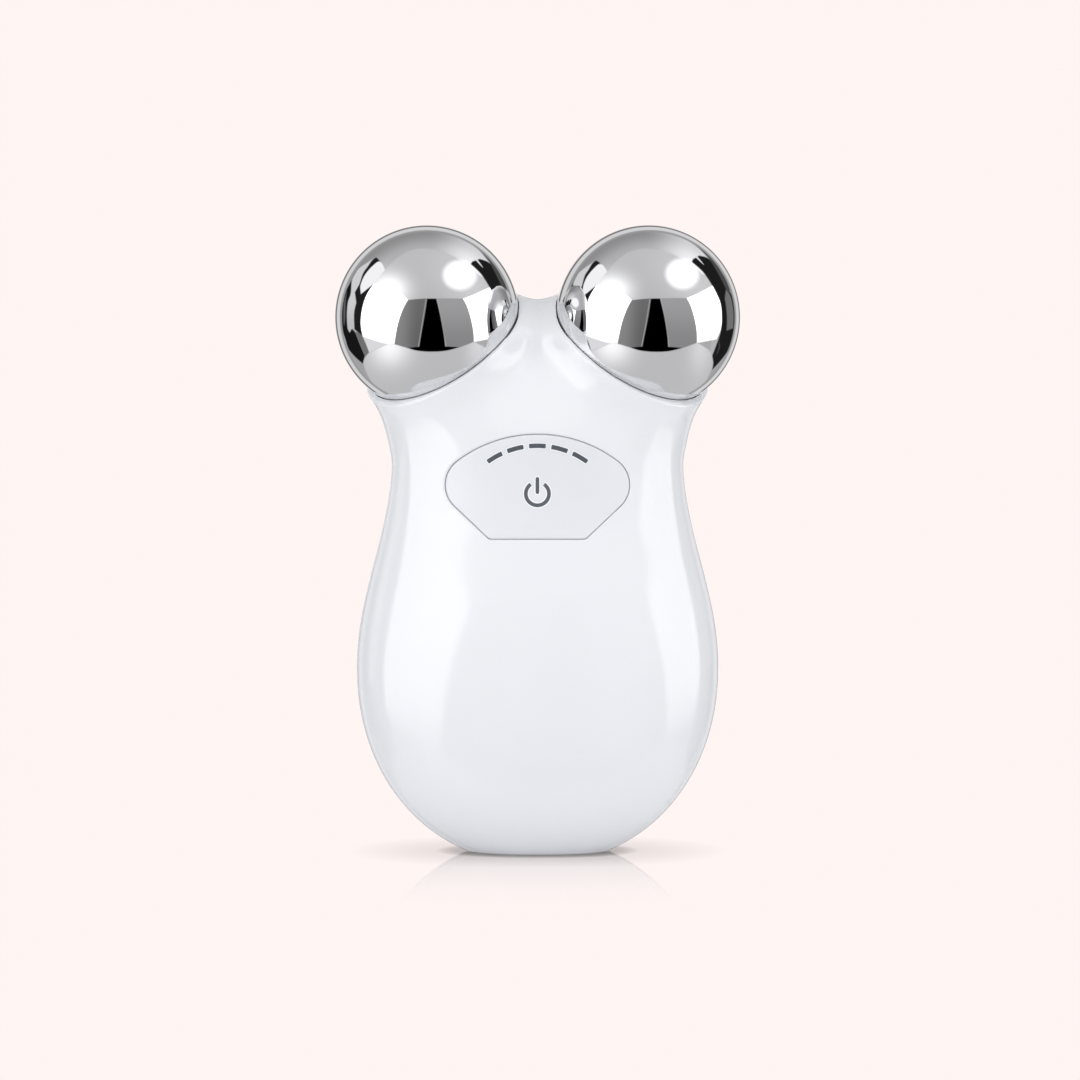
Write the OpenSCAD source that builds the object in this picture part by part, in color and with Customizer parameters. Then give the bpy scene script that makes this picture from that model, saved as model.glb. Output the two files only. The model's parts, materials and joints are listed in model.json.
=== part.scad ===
// Facial toning device: a pear-shaped hand unit with two sphere electrodes and one panel key.
// Frame: +Z up, the panel faces -Y, the origin is the centre of the charging port in the flat base.

/* [Housing form] */
// Height of the widest section above the base
belly_z = 33; // [31:0.5:35]
// Half width of the widest section
belly_w = 32.3; // [30:0.1:34]
// Half depth of the widest section
belly_d = 21; // [19.5:0.1:22.5]
// Height of the narrow neck above the base
waist_z = 71; // [69:0.5:73]
// Half width of the neck
waist_w = 25.9; // [24.5:0.1:27]
// Half depth of the neck
waist_d = 14.5; // [13.5:0.1:15.5]
// Depth of the full curve's tip under the base, which cuts it off
tip_drop = 2.4; // [2:0.1:3]
// Height from the neck up to the tip of the crown between the cups
crown_h = 14.5; // [13:0.1:16]
// How far the crown leans forward
crown_lean = 3; // [2:0.1:4]
// Squareness of the plan sections (2 is an ellipse)
section_power = 2.3; // [2.1:0.05:2.5]
// Squareness of the ends of the side view
end_power = 2.1; // [2:0.05:2.3]
// Blend width between the body and the cups
neck_blend = 7; // [6:0.1:8]
// Blend width of the saddle between the two cups
saddle_blend = 10.5; // [9.5:0.1:11.5]
// Height of the saddle's top above the sphere centres
saddle_up = 3.9; // [3.6:0.1:4.4]
// How fast the saddle's top rises from the middle towards the cups
saddle_rise = 0.045; // [0.03:0.005:0.07]
// Width of the rounding along the saddle's top
saddle_edge = 1.2; // [0.8:0.1:1.6]

/* [Spheres] */
// Radius of each sphere electrode
ball_r = 16.3; // [15.9:0.1:16.4]
// Distance of each sphere's centre from the middle plane
ball_x = 19.5; // [19:0.1:20.5]
// Sphere centre forward of the port axis
ball_front = 6; // [5:0.1:7]
// Sphere centre above the base
ball_z = 94.8; // [94:0.1:96]
// Lean of the electrode axis away from upright, in degrees
ball_tilt = 42.8; // [41:0.1:45]
// Turn of the electrode axis forward from straight sideways, in degrees
ball_turn = 49.2; // [47:0.1:52]
// Wall of the hollow sphere
ball_wall = 1.2; // [0.8:0.1:1.6]
// Depth of the sphere's open back edge behind its centre
ball_open = 12; // [11.5:0.1:12.5]
// Depth of the cup's rim behind the sphere's centre
rim_drop = 5; // [4.5:0.1:5.5]
// Gap between the sphere and its cup
ball_gap = 0.25; // [0.22:0.01:0.4]

/* [Cups] */
// Radius of the cup form at its mouth
cup_r = 17.8; // [17.6:0.1:18.2]
// Radius of the cup form at its root
cup_root_r = 14; // [13.5:0.1:14.5]
// Height of the mouth's centre in front of the sphere's centre
cup_rise = 2.6; // [2:0.1:3]
// Depth of the root's centre behind the sphere's centre
cup_depth = 14; // [13:0.1:15]
// Thickness of the seal ring in the gap
seal_t = 0.2; // [0.1:0.01:0.2]
// Depth of the seal's outer edge under the cup's rim
seal_drop = 0.7; // [0.5:0.1:1.2]
// Width of the seal along the electrode axis
seal_w = 3.5; // [2.5:0.1:4]

/* [Shells] */
// Wall of both shells
wall = 2; // [1.8:0.1:2.2]
// Thickness of the flat floor round the base cap
floor_t = 2.2; // [2:0.1:2.6]
// Distance of the parting plane forward of the port axis
parting_front = 4.5; // [3.5:0.1:5.5]
// Height of the tongue that joins the shells
tongue_h = 1.2; // [0.8:0.1:1.6]
// Thickness of the tongue
tongue_t = 0.7; // [0.6:0.05:0.8]
// Distance of the tongue from the inside of the wall
tongue_in = 0.35; // [0.3:0.01:0.45]
// Clearance round the tongue
tongue_gap = 0.1; // [0.08:0.01:0.2]

/* [Base cap] */
// Width of the shells' flat rim round the cap
cap_rim = 2.55; // [2.3:0.05:2.8]
// Width of the flange that holds the cap in from inside
cap_flange = 1.2; // [0.9:0.1:1.4]
// Thickness of that flange
cap_flange_t = 1.2; // [1:0.1:1.6]
// Clearance round the cap
cap_gap = 0.1; // [0.08:0.01:0.2]
// Radius of the charging port
port_r = 3; // [2.9:0.05:3.3]

/* [Charging jack] */
// Width and depth of the jack's block
jack_w = 9; // [8.4:0.1:9.6]
// Height of the block
jack_h = 11; // [10:0.1:12]
// Radius of the socket in the block
jack_bore_r = 2.75; // [2.6:0.05:2.85]
// Depth of the socket
jack_bore_h = 9; // [8:0.1:9.4]
// Radius of the centre pin
pin_r = 0.65; // [0.5:0.05:0.8]
// Distance of the pin's tip inside the socket's mouth
pin_back = 2; // [1.5:0.1:2.5]
// Length of the pin that is held in the block
pin_root = 1.2; // [1:0.1:1.5]

/* [Control panel] */
// Height of the middle of the panel above the base
panel_z = 65; // [63:0.5:66]
// Height of the panel's top edge above its middle
panel_up = 8.8; // [8.4:0.1:9.2]
// Height of the panel's flat bottom edge below its middle
panel_down = 9.35; // [9:0.05:9.7]
// Radius of the top edge
panel_top_r = 23.5; // [22.5:0.1:24.5]
// Half length of the flat bottom edge, before its corners are rounded
panel_foot = 8.35; // [7.8:0.05:8.8]
// Slope of the two lower sides, in degrees
panel_slope = 43.3; // [42:0.1:45]
// Radius of the two side corners
panel_side_r = 5.1; // [4.6:0.1:5.8]
// Radius of the two bottom corners
panel_foot_r = 0.9; // [0.6:0.1:1.2]
// Depth of the panel's face below the shell's face
panel_recess = 0.35; // [0.3:0.01:0.6]
// Thickness of the panel's face plate
panel_t = 1.2; // [1:0.1:1.4]
// Thickness of the skirt behind the panel's edge
skirt_t = 1.2; // [1:0.1:1.4]
// Gap all round the panel
panel_gap = 0.15; // [0.1:0.01:0.2]
// Width of the flange that keeps the panel in its opening
flange_w = 1.2; // [1:0.1:1.5]
// Thickness of that flange
flange_t = 0.9; // [0.7:0.1:1.2]
// Clearance between the flange and the inside of the shell
flange_gap = 0.35; // [0.3:0.01:0.5]
// Travel of the panel when it is pressed
press = 0.4; // [0.3:0.01:0.5]
// Radius of the boss that presses the switch
pusher_r = 1.6; // [1.3:0.1:1.7]
// Length of that boss behind the face plate
pusher_l = 2.3; // [2.1:0.1:2.8]
// Gap between the boss and the plunger at rest
pusher_gap = 0.05; // [0.03:0.01:0.1]
// Height of the switch and the power sign below the middle of the panel
switch_down = 1.55; // [1.4:0.05:1.8]
// Half distance between the two guide posts
post_x = 11; // [10.6:0.1:11.2]
// Radius of the guide posts
post_r = 1.2; // [1:0.05:1.3]
// Clearance of the guide posts in their sleeves
post_gap = 0.06; // [0.04:0.01:0.09]
// Length of post inside its sleeve at rest
post_in = 3.4; // [3:0.1:3.6]

/* [Level windows] */
// Number of level windows
window_n = 5; // [3:1:5]
// Radius of the arc that the windows lie on
window_arc_r = 14.8; // [14.4:0.1:15.2]
// Height of that arc's centre below the middle of the panel
window_arc_down = 8; // [7.8:0.1:8.4]
// Angle between neighbouring windows, in degrees
window_angle = 15; // [14:0.5:15.5]
// Length of a window
window_l = 2.84; // [2.6:0.02:3]
// Height of a window
window_h = 0.72; // [0.6:0.02:0.9]

/* [Switch and lights] */
// Width of the key switch
switch_w = 6; // [5.6:0.1:6.2]
// Height of the key switch above the board
switch_h = 3.5; // [3.2:0.1:3.8]
// Radius of the plunger
plunger_r = 1.75; // [1.6:0.05:1.9]
// Height of the plunger above the switch
plunger_up = 1.1; // [1:0.05:1.4]
// Length of the plunger inside the switch
plunger_in = 0.8; // [0.6:0.05:1]
// Clearance of the plunger in the switch
plunger_gap = 0.06; // [0.04:0.01:0.09]
// Distance of the light box inside the panel's outline
box_inset = 2.6; // [2.5:0.1:3]
// Height of the light box above the board
box_h = 4.5; // [4.2:0.1:4.7]
// Wall between the switch and its well in the light box
well_gap = 0.4; // [0.3:0.05:0.5]
// Length of a level light
led_l = 1.6; // [1.4:0.1:2]
// Width of a level light
led_w = 0.8; // [0.6:0.1:1]
// Height of a level light
led_h = 0.7; // [0.5:0.05:0.9]
// Margin of a light well round its window
light_margin = 0.25; // [0.2:0.05:0.35]

/* [Circuit board] */
// Width of the board
board_w = 30; // [29:0.5:30.5]
// Height of the board's bottom edge above the base
board_z0 = 38; // [36:0.5:39]
// Height of the board's top edge above the base
board_z1 = 76.5; // [76:0.1:77]
// Thickness of the board
board_t = 1.6; // [1:0.1:1.6]
// Inset of the board's screws from its side edges
board_screw_in = 2.4; // [2.2:0.1:2.6]
// Inset of the board's screws from its top and bottom edges
board_screw_end = 2.3; // [2.2:0.1:3]
// Radius of the board's screws
board_screw_r = 0.8; // [0.7:0.05:0.9]
// Room between the board and the chassis for the parts on the board's back
back_room = 5.5; // [5.2:0.1:6.2]
// Height of the transformer and of the battery socket
tall_part_h = 4.4; // [4:0.1:4.8]
// Width of the transformer's core
core_w = 10; // [9:0.1:11]
// Width of the microcontroller
chip_w = 7; // [6:0.1:8]
// Height of the microcontroller
chip_h = 1.4; // [1:0.1:1.6]
// Radius of the capacitors
cap_can_r = 2; // [1.8:0.1:2.2]
// Height of the capacitors
cap_can_h = 6; // [5:0.1:6.5]
// Radius of the buzzer
buzzer_r = 4.5; // [4:0.1:5]
// Height of the buzzer
buzzer_h = 3; // [2.5:0.1:3.5]
// Height of the buzzer and the capacitors above the board's bottom edge
front_parts_up = 9; // [8.5:0.1:10]
// Width of the battery socket
socket_w = 6; // [5.6:0.1:6.4]

/* [Chassis] */
// Thickness of the chassis plate
plate_t = 1.8; // [1.6:0.1:2.2]
// Width of the chassis plate
plate_w = 42; // [41.6:0.1:44]
// Width of the chassis plate's narrow foot
foot_w = 16; // [14:0.5:18]
// Thickness of the seats under the spheres
seat_t = 2; // [1.8:0.1:2.4]
// Radius of the seats
seat_r = 10; // [9:0.1:10.2]
// Half distance between the case screws
case_screw_x = 18.6; // [18.4:0.1:18.8]
// Height of the lower case screws above the base
case_screw_low = 30; // [28:0.5:33]
// Height of the upper case screws above the base
case_screw_high = 72; // [71:0.5:72.5]
// Radius of the case screws
case_screw_r = 1; // [0.9:0.05:1.1]
// Length of a case screw's thread in its boss
case_screw_l = 6; // [5:0.5:7]
// Radius of the bosses that take the case screws
boss_r = 2.4; // [2.2:0.1:2.5]
// Clearance round a screw where it passes through
screw_gap = 0.15; // [0.1:0.01:0.2]
// Clearance round a screw where it is driven in
thread_gap = 0.05; // [0.03:0.01:0.08]

/* [Electrode fixing] */
// Thickness of the plug's flange
plug_t = 1.5; // [1.2:0.1:1.8]
// Depth of the plug's spigot inside the sphere
spigot_l = 2.5; // [2:0.1:3]
// Clearance of the spigot in the sphere's open back
spigot_gap = 0.15; // [0.1:0.01:0.2]
// Distance of the plug's flange inside the sphere's edge
flange_in = 0.4; // [0.2:0.05:0.6]
// Radius of the electrode screw
bolt_r = 1.5; // [1.3:0.05:1.6]
// Length of the electrode screw under its head
bolt_l = 9.5; // [9:0.1:10]
// Wall of the threaded insert
insert_wall = 0.65; // [0.5:0.05:0.8]
// Length of the threaded insert
insert_l = 6; // [5:0.1:6.5]
// Wall of the boss round the insert
insert_boss = 1.4; // [1.2:0.1:1.8]
// Thickness of the ring terminal
lug_t = 0.5; // [0.4:0.05:0.6]
// Length of the terminal from the screw's axis to its crimp
lug_l = 6; // [5.5:0.1:6.5]

/* [Battery and leads] */
// Width of the battery
battery_w = 30; // [28:0.5:31]
// Thickness of the battery
battery_t = 8.6; // [8:0.1:9]
// Length of the battery
battery_l = 38; // [36:0.5:39]
// Height of the battery's foot above the base
battery_z = 20; // [19:0.5:21]
// Thickness of the foam pad behind the battery
pad_t = 0.8; // [0.6:0.1:1.2]
// Clearance between the battery and the ribs round it
battery_gap = 0.3; // [0.2:0.05:0.5]
// Thickness of the ribs inside the housing
rib_t = 1.6; // [1.2:0.1:2]
// Radius of every lead over its insulation
lead_r = 0.6; // [0.5:0.05:0.7]
// Distance between the two leads of a pair
lead_pitch = 2.4; // [2:0.1:2.8]

/* [Hidden] */

$fn = 64;
eps = 0.01;
far = 60;

// How finely the shells' free-form faces are divided
around_steps = 36;
low_rows = 6;
side_rows = 14;
top_rows = 12;
// The rays start on a flat spine: its ends, its half width and the share of rays that leave it straight
spine_low = 14;
spine_high = 76;
spine_half = 11;
straight = 0.36;

parting_y = -parting_front;
ball = [ball_x, -ball_front, ball_z];
axis = [sin(ball_tilt) * cos(ball_turn), -sin(ball_tilt) * sin(ball_turn), cos(ball_tilt)];
cup_h = cup_rise + cup_depth;
cup_sin = (cup_r - cup_root_r) / cup_h;
cup_cos = sqrt(1 - cup_sin * cup_sin);
tail_h = belly_z + tip_drop;
base_share = pow(1 - pow(belly_z / tail_h, end_power), 1 / end_power);
cap_len = belly_w * base_share - cap_rim * 1.15;
cap_r = belly_d * base_share - cap_rim;

// ---------------------------------------------------------------- housing form

// Smooth minimum of two distances, blended over the width k
function blend(a, b, k) =
    let (h = max(0, min(1, 0.5 + 0.5 * (b - a) / k)))
    b * (1 - h) + a * h - k * h * (1 - h);

function smooth(t) = let (s = max(0, min(1, t))) s * s * (3 - 2 * s);

// Distance-like value of the pear-shaped body, negative inside
function pear(p) =
    let (
        t = (1 - cos(180 * max(0, min(1, (p.z - belly_z) / (waist_z - belly_z))))) / 2,
        w = belly_w + (waist_w - belly_w) * t,
        d = belly_d + (waist_d - belly_d) * t,
        y = p.y + crown_lean * smooth((p.z - belly_z) / (ball_z - belly_z)),
        q = pow(pow(abs(p.x) / w, section_power) + pow(abs(y) / d, section_power), 1 / section_power),
        low = max(0, (belly_z - p.z) / tail_h),
        high = max(0, (p.z - waist_z) / crown_h)
    )
    (pow(pow(q, end_power) + pow(low, end_power) + pow(high, end_power), 1 / end_power) - 1) * min(w, d);

// Distance to one cup's form, a cone with round ends along the electrode axis
function cup(p, side) =
    let (
        v = [side * p.x, p.y, p.z] - ball,
        a = v * axis,
        q = [norm(v - a * axis), cup_rise - a],
        k = cup_cos * q.y - cup_sin * q.x
    )
    k < 0 ? norm(q) - cup_r
    : k > cup_cos * cup_h ? norm(q - [0, cup_h]) - cup_root_r
    : cup_cos * q.x + cup_sin * q.y - cup_r;

// The whole housing: body and both cups blended together, under the saddle's top
function housing(p) =
    let (
        body = blend(pear(p), blend(cup(p, 1), cup(p, -1), saddle_blend), neck_blend),
        lid = p.z - ball_z - saddle_up - saddle_rise * p.x * p.x
    )
    -blend(-body, -lid, saddle_edge);

// Distance along a ray from inside the housing to its skin
function reach(o, d, t = 2, n = 40) =
    let (f = housing(o + t * d))
    (n == 0 || abs(f) < 0.002) ? t : reach(o, d, t - f, n - 1);

// Outward direction of the housing's skin at a point on it
function skin_normal(p) =
    let (
        h = 0.05,
        f = housing(p),
        g = [housing(p + [h, 0, 0]) - f, housing(p + [0, h, 0]) - f, housing(p + [0, 0, h]) - f]
    )
    g / norm(g);

// A point of the skin moved inwards, with a flat floor over the base.
// A point on the parting plane stays on that plane.
function inward(p, inset, on_plane) =
    let (n = skin_normal(p), g = on_plane ? [n.x, 0, n.z] : n, q = p - inset / (g * g) * g)
    [q.x, q.y, max(q.z, floor_t * inset / wall)];

// Depth of the skin at one place: side -1 is the front face, side 1 the rear face
function skin_y(x, z, side) = parting_y + side * reach([x, parting_y, z], [0, side, 0]);

// Rows of rays: the height of each row's start on the spine and its elevation
rows = concat(
    [for (i = [0 : low_rows - 1]) [spine_low * pow(i / low_rows, 2), 0]],
    [for (i = [0 : side_rows]) [spine_low + (spine_high - spine_low) * i / side_rows, 0]],
    [for (i = [1 : top_rows - 1]) [spine_high, 90 * i / top_rows]]
);

// Point of the skin on one ray of a row; s runs from 1 at the right over 0 in front to -1 at the left
function skin_point(row, s, side) =
    let (
        fan = max(0, abs(s) - straight) / (1 - straight) * sign(s),
        turn = 90 - 90 * fan,
        half = spine_half * cos(row[1]) * min(1, 0.5 + row[0] / spine_low / 2),
        from = [half * max(-1, min(1, s / straight)), parting_y, row[0]],
        way = [cos(row[1]) * cos(turn), side * cos(row[1]) * sin(turn), sin(row[1])]
    )
    from + reach(from, way) * way;

base_middle = [0, parting_y, 0];
saddle_middle = [0, parting_y, spine_high + reach([0, parting_y, spine_high], [0, 0, 1])];

// One half of the housing as a closed shell of even wall; side -1 is the front half
module half_shell(side) {
    n = around_steps + 1;
    spots = [for (row = rows, i = [0 : around_steps]) skin_point(row, 1 - 2 * i / around_steps, side)];
    skin = concat(spots, [base_middle, saddle_middle]);
    lining = concat(
        [for (i = [0 : len(spots) - 1]) inward(spots[i], wall, i % n == 0 || i % n == around_steps)],
        [base_middle + [0, 0, floor_t], inward(saddle_middle, wall, true)]
    );
    total = len(skin);
    last = (len(rows) - 1) * n;
    low = total - 2;
    high = total - 1;
    // Triangles of one face of the half, wound outwards for the front half
    sheet = concat(
        [for (j = [0 : len(rows) - 2], i = [0 : n - 2]) [j * n + i, (j + 1) * n + i, j * n + i + 1]],
        [
            for (j = [0 : len(rows) - 2], i = [0 : n - 2])
            [j * n + i + 1, (j + 1) * n + i, (j + 1) * n + i + 1]
        ],
        [for (i = [0 : n - 2]) [low, i, i + 1]],
        [for (i = [0 : n - 2]) [high, last + i + 1, last + i]]
    );
    // The closed edge of that face, once round the parting plane
    edge = concat(
        [low], [for (j = [0 : len(rows) - 1]) j * n],
        [high], [for (j = [len(rows) - 1 : -1 : 0]) j * n + n - 1]
    );
    rim = [
        for (i = [0 : len(edge) - 1])
        let (a = edge[i], b = edge[(i + 1) % len(edge)])
        each [[a, b, a + total], [b, b + total, a + total]]
    ];
    skin_faces = [for (f = sheet) [f[0], f[2], f[1]]];
    lining_faces = [for (f = sheet) [f[0] + total, f[1] + total, f[2] + total]];
    faces = concat(skin_faces, lining_faces, rim);
    polyhedron(
        concat(skin, lining),
        side < 0 ? faces : [for (f = faces) [f[0], f[2], f[1]]],
        convexity = 10
    );
}

// Outline of the housing in the parting plane, a set distance in from its skin.
// Its corners lie halfway between the rows, clear of the edges across the rim.
module parting_outline(inset) {
    half = concat([for (row = rows) skin_point(row, 1, 1)], [saddle_middle]);
    points = [for (p = half) let (q = inward(p, inset, true)) [q.x, q.z]];
    middles = [for (i = [1 : len(points) - 1]) (points[i - 1] + points[i]) / 2];
    mirrored = [for (i = [len(middles) - 1 : -1 : 0]) [-middles[i].x, middles[i].y]];
    polygon(concat(middles, mirrored));
}

// Places children on the electrode axis, +Z out of the cup; side 1 is the right one
module at_cup(side) {
    mirror([side < 0 ? 1 : 0, 0, 0])
    translate(ball)
    rotate([0, ball_tilt, -ball_turn])
    children();
}

// Turns a drawing in X and Z into a plate from the depth y0 to the depth y1
module slab_y(y0, y1) {
    translate([0, y1, 0])
    rotate([90, 0, 0])
    linear_extrude(y1 - y0)
    children();
}

// Puts a cylinder drawn along +Z so that it runs from y0 to y1 at x, z
module rod_y(x, z, r, y0, y1) {
    translate([x, y1, z])
    rotate([90, 0, 0])
    cylinder(r = r, h = y1 - y0);
}

module box_y(x, z, w, h, y0, y1) {
    translate([x - w / 2, y0, z - h / 2])
    cube([w, y1 - y0, h]);
}

// The space that a sphere, its gap and all in front of the cup's rim take
module cup_space(side) {
    at_cup(side) {
        sphere(r = ball_r + ball_gap, $fn = 96);
        translate([0, 0, -rim_drop])
        cylinder(r = cup_r + 4, h = far, $fn = 96);
    }
}

module stadium(half_length, r) {
    hull_half = half_length - r;
    for (s = [-1, 1])
        translate([s * hull_half, 0])
        circle(r);
    square([2 * hull_half, 2 * r], center = true);
}

// What both shells lose: the cups and the base cap's opening
module shell_cuts() {
    cup_space(1);
    cup_space(-1);
    translate([0, 0, -1])
    linear_extrude(floor_t + cap_flange_t + 2)
    stadium(cap_len + cap_gap, cap_r + cap_gap);
    translate([0, 0, floor_t])
    linear_extrude(cap_flange_t + 1)
    stadium(cap_len + cap_flange + cap_gap, cap_r + cap_flange + cap_gap);
}

// ---------------------------------------------------------------- depths, from the panel inwards

skin_mid = skin_y(0, panel_z, -1);
skin_side = skin_y(post_x, panel_z, -1);
plate_back = skin_mid + panel_recess + panel_t;
switch_z = panel_z - switch_down;
plunger_y = plate_back + pusher_l + pusher_gap;
switch_y = plunger_y + plunger_up;
board_y = switch_y + switch_h;
board_back = board_y + board_t;
chassis_y = board_back + back_room;
chassis_back = chassis_y + plate_t;
battery_y = chassis_back + pad_t;
battery_back = battery_y + battery_t;
box_y0 = board_y - box_h;
post_root = skin_side + panel_recess + panel_t * 0.7;
post_floor = box_y0 + post_in + press + 0.3;

// ---------------------------------------------------------------- shells

module case_screw_spots() {
    for (s = [-1, 1], z = [case_screw_low, case_screw_high])
        translate([s * case_screw_x, 0, z])
        children();
}

module front_shell() {
    color("white")
    difference() {
        union() {
            half_shell(-1);
            for (s = [-1, 1], z = [case_screw_low, case_screw_high])
                rod_y(s * case_screw_x, z, boss_r, skin_y(case_screw_x, z, -1) + wall * 0.8, chassis_y);
        }
        shell_cuts();
        slab_y(-far, skin_side + 2.5 * wall)
        panel_outline(panel_gap);
        case_screw_spots()
        rod_y(0, 0, case_screw_r + thread_gap, chassis_y - case_screw_l - 1, chassis_y + 1);
        slab_y(parting_y - tongue_h - tongue_gap, parting_y + wall / 5)
        difference() {
            parting_outline(wall - tongue_in - tongue_t - tongue_gap);
            parting_outline(wall + 1);
        }
    }
}

module rear_shell() {
    color("whitesmoke")
    difference() {
        union() {
            half_shell(1);
            slab_y(parting_y - tongue_h, parting_y + wall / 5)
            difference() {
                parting_outline(wall - tongue_in - tongue_t);
                parting_outline(wall - tongue_in);
            }
            for (share = [0.2, 0.8]) {
                z = battery_z + battery_l * share;
                box_y(0, z, battery_w * 0.6, rib_t, battery_back + battery_gap, skin_y(0, z, 1) - wall * 0.6);
            }
        }
        shell_cuts();
    }
}

module base_cap() {
    color("gainsboro")
    difference() {
        union() {
            linear_extrude(floor_t)
            stadium(cap_len, cap_r);
            translate([0, 0, floor_t])
            linear_extrude(cap_flange_t)
            stadium(cap_len + cap_flange, cap_r + cap_flange);
        }
        translate([0, 0, -1])
        cylinder(r = port_r, h = far);
    }
}

// ---------------------------------------------------------------- electrodes

edge_out = sqrt(ball_r * ball_r - ball_open * ball_open);
edge_in = sqrt((ball_r - ball_wall) * (ball_r - ball_wall) - ball_open * ball_open);
seat_top = -ball_open - plug_t;
seat_bottom = seat_top - seat_t;
insert_r = bolt_r + thread_gap + insert_wall;
bolt_head_r = bolt_r * 1.87;
bolt_head_h = bolt_r * 1.45;
lug_r = bolt_r * 2.1;

module sphere_body() {
    color("silver")
    rotate_extrude($fn = 96)
    difference() {
        intersection() {
            circle(ball_r, $fn = 96);
            translate([0, -ball_open])
            square([ball_r, 2 * ball_r]);
        }
        circle(ball_r - ball_wall, $fn = 96);
    }
}

module left_sphere() {
    at_cup(-1)
    sphere_body();
}

module right_sphere() {
    at_cup(1)
    sphere_body();
}

module sphere_seals() {
    color("#2b2b2d")
    for (s = [-1, 1])
        at_cup(s)
        rotate_extrude($fn = 96)
        intersection() {
            difference() {
                circle(ball_r + seal_t, $fn = 96);
                circle(ball_r, $fn = 96);
            }
            translate([0, -rim_drop - seal_drop - seal_w])
            square([2 * ball_r, seal_w]);
        }
}

module sphere_plug() {
    color("dimgray")
    difference() {
        union() {
            translate([0, 0, seat_top])
            cylinder(r = edge_out - flange_in, h = plug_t);
            translate([0, 0, seat_top])
            cylinder(r = edge_in - spigot_gap, h = plug_t + spigot_l);
            translate([0, 0, seat_top])
            cylinder(r = insert_r + insert_boss, h = insert_l + 1.5);
        }
        translate([0, 0, seat_top - 1])
        cylinder(r = insert_r, h = insert_l + 1);
        translate([0, 0, seat_top - 1])
        cylinder(r = bolt_r + thread_gap, h = far);
    }
}

module left_sphere_plug() {
    at_cup(-1)
    sphere_plug();
}

module right_sphere_plug() {
    at_cup(1)
    sphere_plug();
}

module plug_inserts() {
    color("goldenrod")
    for (s = [-1, 1])
        at_cup(s)
        translate([0, 0, seat_top])
        difference() {
            cylinder(r = insert_r, h = insert_l);
            translate([0, 0, -1])
            cylinder(r = bolt_r + thread_gap, h = insert_l + 2);
        }
}

module electrode_screws() {
    color("lightslategray")
    for (s = [-1, 1])
        at_cup(s)
        translate([0, 0, seat_bottom - lug_t])
        difference() {
            union() {
                cylinder(r = bolt_r, h = bolt_l);
                translate([0, 0, -bolt_head_h])
                cylinder(r = bolt_head_r, h = bolt_head_h);
            }
            translate([0, 0, -bolt_head_h - 1])
            cylinder(r = bolt_r * 0.8, h = bolt_head_h * 0.5 + 1, $fn = 6);
        }
}

// The terminal's tail points forward and down, in a plane across the housing
side_dir = [cos(ball_tilt) * cos(ball_turn), -cos(ball_tilt) * sin(ball_turn), -sin(ball_tilt)];
turn_dir = [sin(ball_turn), cos(ball_turn), 0];
tail_turn = atan2(-side_dir.x, turn_dir.x);
tail_dir = cos(tail_turn) * side_dir + sin(tail_turn) * turn_dir;
crimp_r = lead_r + 0.3;
crimp_l = 2.5;
crimp_a = seat_bottom - crimp_r - 0.1;

module ring_terminals() {
    color("khaki")
    for (s = [-1, 1])
        at_cup(s)
        rotate([0, 0, tail_turn])
        difference() {
            union() {
                translate([0, 0, seat_bottom - lug_t])
                cylinder(r = lug_r, h = lug_t);
                translate([0, -crimp_r, seat_bottom - lug_t])
                cube([lug_l, 2 * crimp_r, lug_t]);
                translate([lug_l - 1, 0, crimp_a])
                rotate([0, 90, 0])
                cylinder(r = crimp_r, h = crimp_l);
            }
            translate([0, 0, seat_bottom - lug_t - 1])
            cylinder(r = bolt_r + screw_gap, h = lug_t + 2);
            translate([-bolt_head_r, -lug_l, seat_bottom - lug_t - 3])
            cube([2 * bolt_head_r, 2 * lug_l, 3]);
        }
}

// ---------------------------------------------------------------- leads

function bezier(a, b, c, d, t) =
    pow(1 - t, 3) * a + 3 * t * pow(1 - t, 2) * b + 3 * t * t * (1 - t) * c + pow(t, 3) * d;

// A round lead along a curve that never runs along X
module lead(a, b, c, d, steps = 16, sides = 8) {
    centres = [for (i = [0 : steps]) bezier(a, b, c, d, i / steps)];
    starts = concat([b - a], [for (i = [1 : steps - 1]) centres[i + 1] - centres[i - 1]], [d - c]);
    points = [
        for (i = [0 : steps])
        let (
            t = starts[i] / norm(starts[i]),
            u = cross(t, [1, 0, 0]) / norm(cross(t, [1, 0, 0])),
            v = cross(t, u)
        )
        for (k = [0 : sides - 1])
        centres[i] + lead_r * (cos(360 * k / sides) * u + sin(360 * k / sides) * v)
    ];
    walls = [
        for (i = [0 : steps - 1], k = [0 : sides - 1])
        let (p = i * sides + k, q = i * sides + (k + 1) % sides)
        each [[p, p + sides, q], [q, p + sides, q + sides]]
    ];
    caps = [[for (k = [0 : sides - 1]) k], [for (k = [sides - 1 : -1 : 0]) steps * sides + k]];
    polyhedron(points, concat(walls, caps), convexity = 4);
}

pad_z = board_z1 - board_screw_end + 2 * lead_r;
crimp_end = ball + (lug_l - 1 + crimp_l) * tail_dir + crimp_a * axis;

module electrode_lead() {
    pad = [board_w / 2 - 3 * board_screw_in, board_back, pad_z];
    color("dimgray")
    lead(crimp_end, crimp_end + crimp_l * tail_dir, pad + [0, back_room * 0.45, 0], pad);
}

module right_electrode_lead() {
    electrode_lead();
}

module left_electrode_lead() {
    mirror([1, 0, 0])
    electrode_lead();
}

socket_x = 9;
socket_z = battery_z + battery_l + socket_w;
socket_back = board_back + tall_part_h;

module battery_lead(shift) {
    a = [socket_x + shift, battery_y + battery_t / 2, battery_z + battery_l];
    d = [socket_x + shift, socket_back, socket_z];
    lead(a, a + [0, 0, socket_w * 1.2], d + [0, socket_w, 0], d);
}

module battery_lead_red() {
    color("firebrick")
    battery_lead(-lead_pitch / 2);
}

module battery_lead_black() {
    color("#222222")
    battery_lead(lead_pitch / 2);
}

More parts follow.
